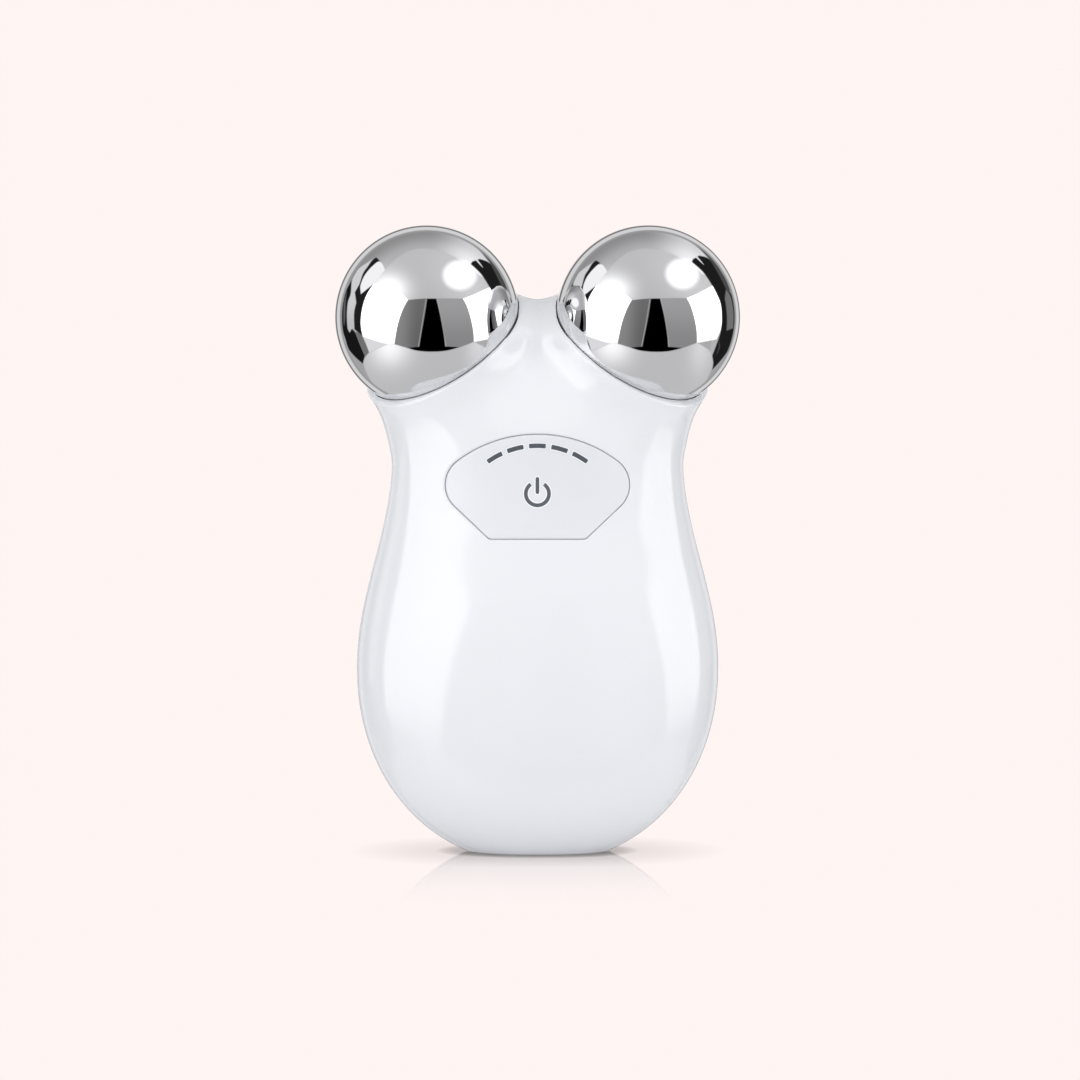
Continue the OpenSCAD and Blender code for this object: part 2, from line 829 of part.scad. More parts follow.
jack_z = floor_t + cap_flange_t;

module charge_lead(shift) {
    a = [shift, -jack_w / 2, jack_z + jack_h * 0.6];
    d = [shift, board_back, board_z0 + board_screw_end];
    lead(a, a - [0, jack_w / 3, 0], d + [0, back_room * 0.75, 0], d, steps = 20);
}

module charge_lead_red() {
    color("firebrick")
    charge_lead(-lead_pitch);
}

module charge_lead_black() {
    color("#222222")
    charge_lead(lead_pitch);
}

// ---------------------------------------------------------------- chassis

foot_z = jack_z + jack_h;
plate_top = board_z1 + 1.5;
ear_in = 3;

module chassis_outline() {
    polygon([
        [-foot_w / 2, foot_z], [foot_w / 2, foot_z],
        [foot_w / 2, battery_z - rib_t], [plate_w / 2, case_screw_low - 3 * boss_r],
        [plate_w / 2, ball_z - 6], [ear_in, ball_z - 6],
        [ear_in, plate_top], [-ear_in, plate_top],
        [-ear_in, ball_z - 6], [-plate_w / 2, ball_z - 6],
        [-plate_w / 2, case_screw_low - 3 * boss_r], [-foot_w / 2, battery_z - rib_t]
    ]);
}

module board_screw_spots() {
    for (s = [-1, 1], z = [board_z0 + board_screw_end, board_z1 - board_screw_end])
        translate([s * (board_w / 2 - board_screw_in), 0, z])
        children();
}

module chassis() {
    color("lightgray")
    difference() {
        union() {
            // Plate, cut off inside the two seats, with room for the screws' heads and the terminals
            difference() {
                slab_y(chassis_y, chassis_back)
                chassis_outline();
                for (s = [-1, 1])
                    at_cup(s) {
                        translate([0, 0, seat_top - seat_t / 2])
                        cylinder(r = far / 2, h = far);
                        translate([0, 0, seat_bottom + seat_t / 4 - far / 2])
                        cylinder(r = bolt_head_r + 1.4, h = far / 2);
                        rotate([0, 0, tail_turn])
                        translate([0, -crimp_r - 0.4, crimp_a - crimp_r - 0.4])
                        cube([lug_l + crimp_l, 2 * crimp_r + 0.8, crimp_r + 2]);
                    }
            }
            for (s = [-1, 1])
                at_cup(s)
                translate([0, 0, seat_bottom])
                cylinder(r = seat_r, h = seat_t);
            // Foot on the jack and ledge under the battery
            translate([-foot_w / 2, -jack_w / 2 + 0.5, foot_z])
            cube([foot_w, jack_w - 0.5, plate_t]);
            translate([-battery_w * 0.4, chassis_back - eps, battery_z - rib_t])
            cube([battery_w * 0.8, pad_t + battery_t * 0.8, rib_t]);
            // Fences beside the battery
            for (s = [-1, 1])
                box_y(
                    s * (battery_w / 2 + battery_gap + rib_t / 2), battery_z + battery_l * 0.6,
                    rib_t, battery_l * 0.35, chassis_back - eps, battery_y + battery_t * 0.5
                );
            board_screw_spots()
            rod_y(0, 0, board_screw_r * 2.7, board_back, chassis_y + eps);
        }
        for (s = [-1, 1])
            at_cup(s)
            translate([0, 0, seat_bottom - 1])
            cylinder(r = bolt_r + screw_gap, h = far / 2);
        case_screw_spots()
        rod_y(0, 0, case_screw_r + screw_gap, chassis_y - 1, chassis_back + 1);
        board_screw_spots()
        rod_y(0, 0, board_screw_r + thread_gap, board_back - 1, chassis_y + plate_t - 0.4);
        // Slot for the battery's leads
        box_y(
            socket_x, socket_z, lead_pitch + 2 * lead_r + 2, 2 * lead_r + 5,
            chassis_y - 1, chassis_back + 1
        );
    }
}

module screw_y(r, head_y, tip_y) {
    toward = tip_y > head_y ? 1 : -1;
    head_r = r * 1.9;
    head_h = r * 1.4;
    mirror([0, toward > 0 ? 0 : 1, 0])
    difference() {
        union() {
            rod_y(0, 0, r, toward * head_y, toward * tip_y);
            rod_y(0, 0, head_r, toward * head_y - head_h, toward * head_y);
        }
        rod_y(0, 0, r * 0.7, toward * head_y - head_h - 1, toward * head_y - head_h * 0.4, $fn = 6);
    }
}

module case_screws() {
    color("lightslategray")
    case_screw_spots()
    screw_y(case_screw_r, chassis_back, chassis_y - case_screw_l);
}

module board_screws() {
    color("lightslategray")
    board_screw_spots()
    screw_y(board_screw_r, board_y, chassis_y);
}

// ---------------------------------------------------------------- board and what it carries

module circuit_board() {
    color("seagreen")
    difference() {
        translate([-board_w / 2, board_y, board_z0])
        cube([board_w, board_t, board_z1 - board_z0]);
        board_screw_spots()
        rod_y(0, 0, board_screw_r + screw_gap, board_y - 1, board_back + 1);
    }
}

// Places children upright at each level window, drawn in X and Z
module at_windows() {
    for (i = [0 : window_n - 1]) {
        turn = (i - (window_n - 1) / 2) * window_angle;
        translate([0, panel_z - window_arc_down])
        rotate(-turn)
        translate([0, window_arc_r])
        children();
    }
}

module light_box() {
    color("white")
    difference() {
        slab_y(box_y0, board_y)
        panel_outline(-box_inset);
        box_y(0, switch_z, switch_w + 2 * well_gap, switch_w + 2 * well_gap, box_y0 - 1, board_y + 1);
        slab_y(box_y0 - 1, board_y + 1)
        at_windows()
        square([window_l - 2 * light_margin, window_h + 2 * light_margin], center = true);
        for (s = [-1, 1])
            rod_y(s * post_x, panel_z, post_r + post_gap, box_y0 - 1, post_floor);
    }
}

module level_leds() {
    color("lemonchiffon")
    slab_y(board_y - led_h, board_y)
    at_windows()
    square([led_l, led_w], center = true);
}

module switch_body() {
    color("#303236")
    difference() {
        box_y(0, switch_z, switch_w, switch_w, switch_y, board_y);
        rod_y(0, switch_z, plunger_r + plunger_gap, switch_y - 1, switch_y + plunger_in + press + 0.2);
    }
}

module switch_plunger() {
    color("#15161a")
    rod_y(0, switch_z, plunger_r, plunger_y, switch_y + plunger_in);
}

module microcontroller() {
    color("#202226")
    box_y(0, (board_z0 + board_z1) / 2 - 5, chip_w, chip_w, board_back, board_back + chip_h);
}

module transformer() {
    x = -core_w * 0.6;
    z = socket_z;
    color("saddlebrown")
    union() {
        difference() {
            box_y(x, z, core_w, core_w, board_back, board_back + tall_part_h);
            box_y(
                x, z, core_w * 0.7, core_w + 2,
                board_back + tall_part_h * 0.25, board_back + tall_part_h * 0.75
            );
        }
        translate([x, board_back + tall_part_h / 2, z - core_w * 0.42])
        cylinder(r = tall_part_h * 0.25, h = core_w * 0.84);
    }
}

module capacitors() {
    z = board_z0 + front_parts_up;
    color("royalblue")
    for (i = [0, 1])
        rod_y(board_w * 0.15 + i * (2 * cap_can_r + 1.2), z, cap_can_r, board_y - cap_can_h, board_y);
}

module buzzer() {
    x = -board_w * 0.2;
    z = board_z0 + front_parts_up;
    color("#1c1d20")
    difference() {
        rod_y(x, z, buzzer_r, board_y - buzzer_h, board_y);
        rod_y(x, z, buzzer_r * 0.2, board_y - buzzer_h - 1, board_y - buzzer_h * 0.6);
    }
}

module battery_socket() {
    color("ivory")
    box_y(socket_x, socket_z, socket_w, socket_w * 0.8, board_back, socket_back);
}

// ---------------------------------------------------------------- control panel

// The panel's outline in X and Z, grown by a distance
module panel_outline(grow) {
    top_z = panel_z + panel_up;
    foot_edge = panel_z - panel_down;
    run = 30;
    rise = run * tan(panel_slope);
    offset(r = grow)
    offset(r = panel_foot_r)
    offset(delta = -panel_foot_r)
    intersection() {
        offset(r = panel_side_r)
        offset(delta = -panel_side_r)
        intersection() {
            translate([0, top_z - panel_top_r])
            circle(panel_top_r);
            polygon([
                [-panel_foot - run, foot_edge + rise],
                [0, foot_edge - panel_foot * tan(panel_slope)],
                [panel_foot + run, foot_edge + rise]
            ]);
        }
        translate([-far, foot_edge])
        square([2 * far, far]);
    }
}

// Places on the shell's face over the panel and its flange, in columns from left to right
face_cols = 12;
face_rows = 8;
face_half = panel_top_r * 0.76;
face_low = panel_z - panel_down - flange_w * 1.5;
face_high = panel_z + panel_up + flange_w * 1.5;
face_spots = [
    for (i = [0 : face_cols], j = [0 : face_rows])
    let (x = face_half * (2 * i / face_cols - 1), z = face_low + (face_high - face_low) * j / face_rows)
    [x, skin_y(x, z, -1), z]
];
face_leans = [for (p = face_spots) 1 / max(0.5, -skin_normal(p).y)];

// A layer that follows the shell's face, from one depth below it to another
module face_layer(from, to) {
    m = face_rows + 1;
    total = len(face_spots);
    points = [
        for (depth = [from, to], i = [0 : total - 1])
        face_spots[i] + [0, depth * face_leans[i], 0]
    ];
    sheet = [
        for (i = [0 : face_cols - 1], j = [0 : face_rows - 1])
        let (a = i * m + j)
        each [[a, a + 1, a + m + 1], [a, a + m + 1, a + m]]
    ];
    edge = concat(
        [for (j = [0 : face_rows - 1]) j], [for (i = [0 : face_cols - 1]) i * m + face_rows],
        [for (j = [face_rows : -1 : 1]) face_cols * m + j], [for (i = [face_cols : -1 : 1]) i * m]
    );
    rim = [
        for (i = [0 : len(edge) - 1])
        let (a = edge[i], b = edge[(i + 1) % len(edge)])
        each [[b, a, a + total], [b, a + total, b + total]]
    ];
    back = [for (f = sheet) [f[0] + total, f[2] + total, f[1] + total]];
    polyhedron(points, concat(sheet, back, rim), convexity = 4);
}

flange_top = wall + flange_gap;
panel_back = flange_top + flange_t;

module panel_body() {
    difference() {
        union() {
            intersection() {
                face_layer(panel_recess, panel_back - flange_t / 2);
                slab_y(-far, 0)
                panel_outline(0);
            }
            intersection() {
                face_layer(flange_top, panel_back);
                slab_y(-far, 0)
                panel_outline(flange_w);
            }
        }
        intersection() {
            face_layer(panel_recess + panel_t, panel_back + 1);
            slab_y(-far, 0)
            panel_outline(-skirt_t);
        }
    }
}

module window_bars() {
    slab_y(-far, 0)
    at_windows()
    square([window_l, window_h], center = true);
}

module control_panel() {
    color("gainsboro")
    difference() {
        union() {
            panel_body();
            rod_y(0, switch_z, pusher_r, plate_back - panel_t / 2, plunger_y - pusher_gap);
            for (s = [-1, 1])
                rod_y(s * post_x, panel_z, post_r, post_root, box_y0 + post_in);
        }
        window_bars();
    }
}

module level_windows() {
    color("slategray")
    intersection() {
        face_layer(panel_recess, panel_recess + panel_t);
        window_bars();
    }
}

module battery() {
    color("lightsteelblue")
    box_y(0, battery_z + battery_l / 2, battery_w, battery_l, battery_y, battery_back);
}

module battery_pad() {
    color("#3a3a3c")
    box_y(0, battery_z + battery_l / 2, battery_w - 4, battery_l - 4, chassis_back, battery_y);
}

module charge_jack() {
    color("#1a1b1e")
    difference() {
        translate([-jack_w / 2, -jack_w / 2, jack_z])
        cube([jack_w, jack_w, jack_h]);
        translate([0, 0, jack_z - 1])
        cylinder(r = jack_bore_r, h = jack_bore_h + 1);
        translate([0, 0, jack_z])
        cylinder(r = pin_r, h = jack_bore_h + pin_root);
    }
}

module charge_pin() {
    color("gold")
    translate([0, 0, jack_z + pin_back])
    cylinder(r = pin_r, h = jack_bore_h + pin_root - pin_back);
}

front_shell();
rear_shell();
base_cap();
left_sphere();
right_sphere();
sphere_seals();
left_sphere_plug();
right_sphere_plug();
plug_inserts();
electrode_screws();
ring_terminals();
left_electrode_lead();
right_electrode_lead();
chassis();
case_screws();
circuit_board();
board_screws();
light_box();
level_leds();
switch_body();
switch_plunger();
control_panel();
level_windows();
microcontroller();
transformer();
capacitors();
buzzer();
battery();
battery_pad();
battery_socket();
battery_lead_red();
battery_lead_black();
charge_jack();
charge_pin();
charge_lead_red();
charge_lead_black();
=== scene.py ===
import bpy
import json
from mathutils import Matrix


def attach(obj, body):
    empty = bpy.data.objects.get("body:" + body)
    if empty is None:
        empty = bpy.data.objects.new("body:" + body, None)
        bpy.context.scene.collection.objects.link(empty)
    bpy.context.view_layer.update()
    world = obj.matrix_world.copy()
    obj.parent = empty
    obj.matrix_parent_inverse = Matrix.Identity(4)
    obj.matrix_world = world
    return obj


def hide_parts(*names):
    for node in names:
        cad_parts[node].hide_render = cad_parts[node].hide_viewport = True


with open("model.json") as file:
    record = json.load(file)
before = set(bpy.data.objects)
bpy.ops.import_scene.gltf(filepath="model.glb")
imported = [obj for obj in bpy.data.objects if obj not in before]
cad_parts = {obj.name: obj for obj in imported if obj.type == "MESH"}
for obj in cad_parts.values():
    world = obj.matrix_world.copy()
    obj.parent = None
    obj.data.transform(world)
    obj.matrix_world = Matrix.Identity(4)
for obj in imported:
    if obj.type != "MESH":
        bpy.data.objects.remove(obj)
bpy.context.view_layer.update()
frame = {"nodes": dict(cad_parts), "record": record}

import json
import math

import bmesh
import bpy
import numpy as np
from mathutils import Vector

scene = bpy.context.scene
MM = 0.001

# ---------------------------------------------------------------- camera and view

EYE = (0.00045, -0.480, 0.0555)
camera_data = bpy.data.cameras.new("camera")
camera_data.lens = 89.37
camera_data.sensor_width = 36
camera_data.clip_start, camera_data.clip_end = 0.01, 20
camera = bpy.data.objects.new("camera", camera_data)
camera.location = EYE
camera.rotation_euler = (math.radians(90), 0, 0)
scene.collection.objects.link(camera)
scene.camera = camera
scene.view_settings.view_transform = "Standard"

# ---------------------------------------------------------------- the housing's form, in millimetres

BELLY_Z, BELLY_W, BELLY_D = 33, 32.3, 21
WAIST_Z, WAIST_W, WAIST_D = 71, 25.9, 14.5
TAIL_H, CROWN_H, CROWN_LEAN = 35.4, 14.5, 3
SECTION_POWER, END_POWER = 2.3, 2.1
NECK_BLEND, SADDLE_BLEND = 7, 12
SADDLE_TOP, SADDLE_RISE, SADDLE_EDGE = 99, 0.045, 1.2
WEB_TILT, WEB_HEIGHT, WEB_EDGE = math.radians(41.3), 78.0, 3
BALL = np.array([19.5, -6, 94.8])
BALL_R, BALL_GAP, BALL_WALL, BALL_OPEN, RIM_DROP = 16.3, 0.25, 1.2, 12, 5.9
LIP_GAP, LIP_R, EDGE_R, EDGE_MAX = 0.10, 0.10, 0.45, 0.6
CUP_R, CUP_ROOT_R, CUP_RISE, CUP_DEPTH = 17.5, 14, 2.6, 14
WALL, FLOOR_T, PARTING = 2, 2.2, -4.5
SPINE_LOW, SPINE_HIGH, SPINE_HALF = 14, 76, 11


def axes_of(tilt, turn):
    """The right cup's axis, and the two directions square to it: down the slope and across it."""
    st, ct, su, cu = math.sin(tilt), math.cos(tilt), math.sin(turn), math.cos(turn)
    return np.array([st * cu, -st * su, ct]), np.array([ct * cu, -ct * su, -st]), np.array([su, cu, 0])


AXIS, SIDE_DIR, TURN_DIR = axes_of(math.radians(42.8), math.radians(49.2))
RIM_AXIS, RIM_SIDE, RIM_TURN = axes_of(math.radians(43.7), math.radians(45.3))


def unit(v):
    return v / np.maximum(1e-12, np.linalg.norm(v, axis=-1, keepdims=True))


def to_side(points, side):
    """Points of the right side, or their mirror image for side -1."""
    return points * np.array([side, 1, 1])


def spokes(first, second, turns):
    """Directions round a circle from one direction towards another one square to it."""
    phi = np.linspace(0, 2 * np.pi, turns, endpoint=False)
    return np.cos(phi)[:, None] * first + np.sin(phi)[:, None] * second


def soft_min(a, b, k):
    h = np.clip(0.5 + 0.5 * (b - a) / k, 0, 1)
    return b * (1 - h) + a * h - k * h * (1 - h)


def pear(p):
    x, y, z = p[..., 0], p[..., 1], p[..., 2]
    t = (1 - np.cos(np.pi * np.clip((z - BELLY_Z) / (WAIST_Z - BELLY_Z), 0, 1))) / 2
    w = BELLY_W + (WAIST_W - BELLY_W) * t
    d = BELLY_D + (WAIST_D - BELLY_D) * t
    s = np.clip((z - BELLY_Z) / (BALL[2] - BELLY_Z), 0, 1)
    lean = y + CROWN_LEAN * s * s * (3 - 2 * s)
    n, e = SECTION_POWER, END_POWER
    q = (np.abs(x / w) ** n + np.abs(lean / d) ** n) ** (1 / n)
    low = np.clip((BELLY_Z - z) / TAIL_H, 0, None)
    high = np.clip((z - WAIST_Z) / CROWN_H, 0, None)
    return ((q**e + low**e + high**e) ** (1 / e) - 1) * np.minimum(w, d)


def cup(p, side):
    v = to_side(p, side) - BALL
    a = v @ AXIS
    r = np.linalg.norm(v - a[..., None] * AXIS, axis=-1)
    h = CUP_RISE + CUP_DEPTH
    sn = (CUP_R - CUP_ROOT_R) / h
    cs = math.sqrt(1 - sn * sn)
    q = CUP_RISE - a
    k = cs * q - sn * r
    cone = cs * r + sn * q - CUP_R
    mouth, root = np.hypot(r, q) - CUP_R, np.hypot(r, q - h) - CUP_ROOT_R
    return np.where(k < 0, mouth, np.where(k > cs * h, root, cone))


def form(p):
    """Distance-like value of the whole housing at points in millimetres, negative inside."""
    p = np.asarray(p, float)
    f = soft_min(pear(p), soft_min(cup(p, 1), cup(p, -1), SADDLE_BLEND), NECK_BLEND)
    lid = p[..., 2] - SADDLE_TOP - SADDLE_RISE * p[..., 0] ** 2
    front = p[..., 2] * math.cos(WEB_TILT) - p[..., 1] * math.sin(WEB_TILT) - WEB_HEIGHT
    return -soft_min(soft_min(-f, -lid, SADDLE_EDGE), -front, WEB_EDGE)


def form_normal(p):
    h = 0.02
    return unit(np.stack([form(p + e) - form(p - e) for e in np.eye(3) * h], -1))


def cast(origin, way, level=0.0, start=2.0, steps=70):
    """How far the housing's skin, or the surface at another level of the form, lies from origin along way."""
    t = np.full(origin.shape[:-1], float(start))
    for _ in range(steps):
        t = t - (form(origin + t[..., None] * way) - level)
    return t


def skin_y(x, z, side=-1):
    x, z = np.broadcast_arrays(np.asarray(x, float), np.asarray(z, float))
    o = np.stack([x, np.full(x.shape, float(PARTING)), z], -1)
    return PARTING + side * cast(o, np.array([0, side, 0]))


# ---------------------------------------------------------------- mesh helpers


def mesh_from(name, points, faces):
    """A mesh from points in millimetres."""
    mesh = bpy.data.meshes.new(name)
    mesh.from_pydata([tuple(p) for p in np.asarray(points, float) * MM], [], faces)
    mesh.validate()
    return mesh


def outward(mesh):
    """Turns the faces of closed bodies so that they face outwards."""
    bm = bmesh.new()
    bm.from_mesh(mesh)
    bmesh.ops.recalc_face_normals(bm, faces=bm.faces)
    bm.to_mesh(mesh)
    bm.free()
    return mesh


def add_object(name, data):
    obj = bpy.data.objects.new(name, data)
    scene.collection.objects.link(obj)
    return obj


def add_body(name, points, faces):
    return add_object(name, outward(mesh_from(name, points, faces)))


def grid_faces(rows, cols, base=0, wrap=False):
    faces = []
    for j in range(rows - 1):
        for i in range(cols if wrap else cols - 1):
            a, b = base + j * cols + i, base + j * cols + (i + 1) % cols
            faces.append((a, b, b + cols, a + cols))
    return faces


def closed_grid_faces(rows, cols, base=0):
    """Faces of rings whose last one meets the first."""
    last = base + (rows - 1) * cols
    ends = [(last + i, last + (i + 1) % cols, base + (i + 1) % cols, base + i) for i in range(cols)]
    return grid_faces(rows, cols, base, wrap=True) + ends


def lathe_like(rings, close_start=None, close_end=None):
    """Points and faces of rings of equal size, with a point at either end if one is given."""
    n = len(rings[0])
    points = [p for ring in rings for p in np.asarray(ring, float)]
    faces = grid_faces(len(rings), n, wrap=True)
    if close_start is not None:
        points.append(np.asarray(close_start, float))
        c = len(points) - 1
        faces += [(c, (i + 1) % n, i) for i in range(n)]
    if close_end is not None:
        points.append(np.asarray(close_end, float))
        c = len(points) - 1
        last = (len(rings) - 1) * n
        faces += [(c, last + i, last + (i + 1) % n) for i in range(n)]
    return points, faces


def baked(obj):
    """Applies the modifiers to the object's mesh."""
    bpy.context.view_layer.update()
    graph = bpy.context.evaluated_depsgraph_get()
    mesh = bpy.data.meshes.new_from_object(obj.evaluated_get(graph))
    obj.modifiers.clear()
    obj.data = mesh
    return obj


def cut(obj, *cutters):
    """Takes closed cutters, in millimetres as (points, faces), away from a closed object."""
    for k, (points, faces) in enumerate(cutters):
        tool = add_body(f"cutter{k}", points, faces)
        before, count = obj.data, len(obj.data.polygons)
        for solver in ("MANIFOLD", "EXACT"):
            obj.data = before
            mod = obj.modifiers.new("cut", "BOOLEAN")
            mod.operation = "DIFFERENCE"
            mod.solver = solver
            mod.object = tool
            baked(obj)
            if len(obj.data.polygons) > count * 0.5:
                break
        mesh = tool.data
        bpy.data.objects.remove(tool)
        bpy.data.meshes.remove(mesh)
    return obj


def all_values(items, attribute, width=1, kind=np.float32):
    values = np.zeros(len(items) * width, kind)
    items.foreach_get(attribute, values)
    return values.reshape(-1, width) if width > 1 else values


def smooth(obj, angle=32, normal_at=None, near=None, spread=22):
    """Smooth shading with sharp edges over an angle; normal_at gives exact normals where near() says so."""
    mesh = obj.data
    mesh.shade_smooth()
    mesh.set_sharp_from_angle(angle=math.radians(angle))
    if normal_at is None:
        return
    normals = all_values(mesh.corner_normals, "vector", 3)
    places = all_values(mesh.vertices, "co", 3).astype(float) / MM
    vertex = all_values(mesh.loops, "vertex_index", kind=np.int32)
    totals = all_values(mesh.polygons, "loop_total", kind=np.int32)
    face_normals = np.repeat(all_values(mesh.polygons, "normal", 3), totals, axis=0)
    exact = normal_at(places)[vertex]
    good = near(places)[vertex] & ((exact * face_normals).sum(1) > math.cos(math.radians(spread)))
    normals[good] = exact[good]
    mesh.normals_split_custom_set([tuple(n) for n in normals])


# ---------------------------------------------------------------- materials


def put(tree, kind, inputs=None, out=0, **settings):
    """Adds a shader node, sets or links its inputs and returns one of its outputs, if it has any."""
    node = tree.nodes.new("ShaderNode" + kind)
    for key, value in settings.items():
        setattr(node, key, value)
    for key, value in (inputs or {}).items():
        if isinstance(value, bpy.types.NodeSocket):
            tree.links.new(value, node.inputs[key])
        else:
            node.inputs[key].default_value = value
    return node.outputs[out] if len(node.outputs) else None


def noise(tree, scale, detail, rough, stretch=None):
    where = put(tree, "TexCoord", out="Object")
    if stretch:
        where = put(tree, "Mapping", {"Vector": where, "Scale": stretch})
    pattern = {"Vector": where, "Scale": scale, "Detail": detail, "Roughness": rough}
    return put(tree, "TexNoise", pattern, "Fac")


def ramp(tree, value, low, high, out_low, out_high):
    ends = {"From Min": low, "From Max": high, "To Min": out_low, "To Max": out_high}
    return put(tree, "MapRange", {"Value": value, **ends}, "Result")


def surface(name, tone1, tone2, roughness, tone_scale, grain, stretch=None, **more):
    """A moulded or metal surface with two close tones, varied roughness and a fine grain."""
    material = bpy.data.materials.new(name)
    material.use_nodes = True
    tree = material.node_tree
    shader = tree.nodes["Principled BSDF"]
    fac = ramp(tree, noise(tree, tone_scale, 5, 0.6, stretch), 0.3, 0.7, 0, 1)
    colour = put(tree, "Mix", {"Factor": fac, "A": (*tone1, 1), "B": (*tone2, 1)}, "Result", data_type="RGBA")
    worn = ramp(tree, noise(tree, tone_scale * 7.3, 6, 0.65, stretch), 0.25, 0.75, *roughness)
    grain_scale, strength, depth = grain
    height = noise(tree, grain_scale, 3, 0.5, stretch)
    bump = put(tree, "Bump", {"Strength": strength, "Distance": depth, "Height": height}, "Normal")
    for key, value in (("Base Color", colour), ("Roughness", worn), ("Normal", bump)):
        tree.links.new(value, shader.inputs[key])
    for key, value in {"ior": 1.5, "coat_roughness": 0.05, **more}.items():
        shader.inputs["IOR" if key == "ior" else key.replace("_", " ").title()].default_value = value
    return material


# two tones, the range of the roughness, the scale of the tones, and the grain as scale, strength and depth
SURFACES = {
    "gloss_white": ((0.862, 0.872, 0.895), (0.854, 0.865, 0.889), (0.10, 0.16), 35, (900, 0.05, 0.00002)),
    "cap_white": ((0.78, 0.79, 0.81), (0.74, 0.75, 0.775), (0.42, 0.55), 120, (2600, 0.35, 0.00004)),
    "chrome": ((0.80, 0.80, 0.81), (0.785, 0.785, 0.80), (0.015, 0.04), 45, (500, 0.02, 0.000004)),
    "seal_black": ((0.012, 0.011, 0.011), (0.02, 0.018, 0.018), (0.5, 0.7), 300, (2500, 0.3, 0.00003)),
    "plug_grey": ((0.10, 0.10, 0.115), (0.08, 0.08, 0.092), (0.45, 0.6), 150, (1800, 0.4, 0.00004)),
    "brass": ((0.72, 0.50, 0.19), (0.62, 0.41, 0.14), (0.18, 0.34), 200, (1500, 0.3, 0.00002)),
    "steel": ((0.52, 0.53, 0.55), (0.42, 0.43, 0.46), (0.22, 0.4), 220, (1600, 0.3, 0.00002)),
    "lead_black": ((0.012, 0.012, 0.013), (0.02, 0.02, 0.022), (0.4, 0.55), 260, (1700, 0.3, 0.00003)),
    "lead_red": ((0.42, 0.02, 0.015), (0.34, 0.012, 0.01), (0.38, 0.5), 260, (1700, 0.3, 0.00003)),
    "chassis_grey": ((0.46, 0.46, 0.47), (0.41, 0.41, 0.425), (0.42, 0.58), 110, (1900, 0.45, 0.00005)),
    "light_white": ((0.82, 0.82, 0.80), (0.76, 0.76, 0.74), (0.4, 0.55), 160, (2200, 0.35, 0.00004)),
    "panel_grey": ((0.80, 0.81, 0.843), (0.785, 0.796, 0.83), (0.30, 0.38), 140, (5200, 0.22, 0.00003)),
    "window_grey": ((0.105, 0.118, 0.142), (0.082, 0.093, 0.115), (0.16, 0.26), 260, (2600, 0.15, 0.00002)),
    "chip_black": ((0.022, 0.022, 0.025), (0.035, 0.035, 0.038), (0.5, 0.68), 320, (3000, 0.5, 0.00004)),
    "led_yellow": ((0.82, 0.74, 0.26), (0.75, 0.64, 0.16), (0.14, 0.24), 500, (2400, 0.2, 0.00002)),
    "core_brown": ((0.10, 0.045, 0.022), (0.065, 0.03, 0.016), (0.5, 0.68), 380, (2600, 0.5, 0.00006)),
    "can_blue": ((0.03, 0.055, 0.20), (0.022, 0.042, 0.15), (0.24, 0.36), 200, (1500, 0.2, 0.00003)),
    "battery_foil": ((0.36, 0.385, 0.44), (0.28, 0.30, 0.35), (0.26, 0.42), 90, (420, 0.35, 0.00008)),
    "pad_foam": ((0.025, 0.025, 0.027), (0.05, 0.05, 0.053), (0.8, 0.95), 700, (1300, 0.9, 0.00015)),
    "socket_white": ((0.70, 0.66, 0.56), (0.63, 0.59, 0.49), (0.36, 0.5), 190, (2000, 0.3, 0.00003)),
    "board_green": ((0.012, 0.095, 0.045), (0.008, 0.07, 0.032), (0.22, 0.34), 170, (1100, 0.3, 0.00004)),
    "print_white": ((0.965, 0.968, 0.975), (0.95, 0.955, 0.965), (0.34, 0.44), 300, (3000, 0.2, 0.00002)),
    "print_dark": ((0.115, 0.128, 0.152), (0.092, 0.103, 0.125), (0.30, 0.42), 300, (3000, 0.2, 0.00002)),
}
# what some surfaces have besides: their metal, coat or sheen, and the stretch of their pattern
MORE = {
    "chrome": {"metallic": 1.0},
    "brass": {"metallic": 1.0, "stretch": (1, 1, 8)},
    "steel": {"metallic": 1.0, "stretch": (1, 6, 1)},
    "battery_foil": {"metallic": 0.85, "stretch": (1, 1, 0.4)},
    "window_grey": {"coat_weight": 0.3},
    "led_yellow": {"coat_weight": 0.5},
    "can_blue": {"coat_weight": 0.3},
    "board_green": {"coat_weight": 0.4},
    "pad_foam": {"sheen_weight": 0.2},
}
LOOKS = {slot: surface(slot, *look, **MORE.get(slot, {})) for slot, look in SURFACES.items()}

for row in frame["record"]["subparts"]:
    for held in frame["nodes"][row["node"]].material_slots:
        held.material = LOOKS[row["material_slot"]]


def finish_piece(piece, slot, body, *nodes):
    """Gives a piece its body, hides the nodes it replaces, and gives it its slot's material if it has none of
    its own.
    """
    if not any(piece.data.materials):
        piece.data.materials.clear()
        piece.data.materials.append(LOOKS[slot])
    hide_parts(*nodes)
    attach(piece, body)


# ---------------------------------------------------------------- shells

GROOVE_W, GROOVE_D, GROOVE_SIDE = 0.16, 0.13, 0.35
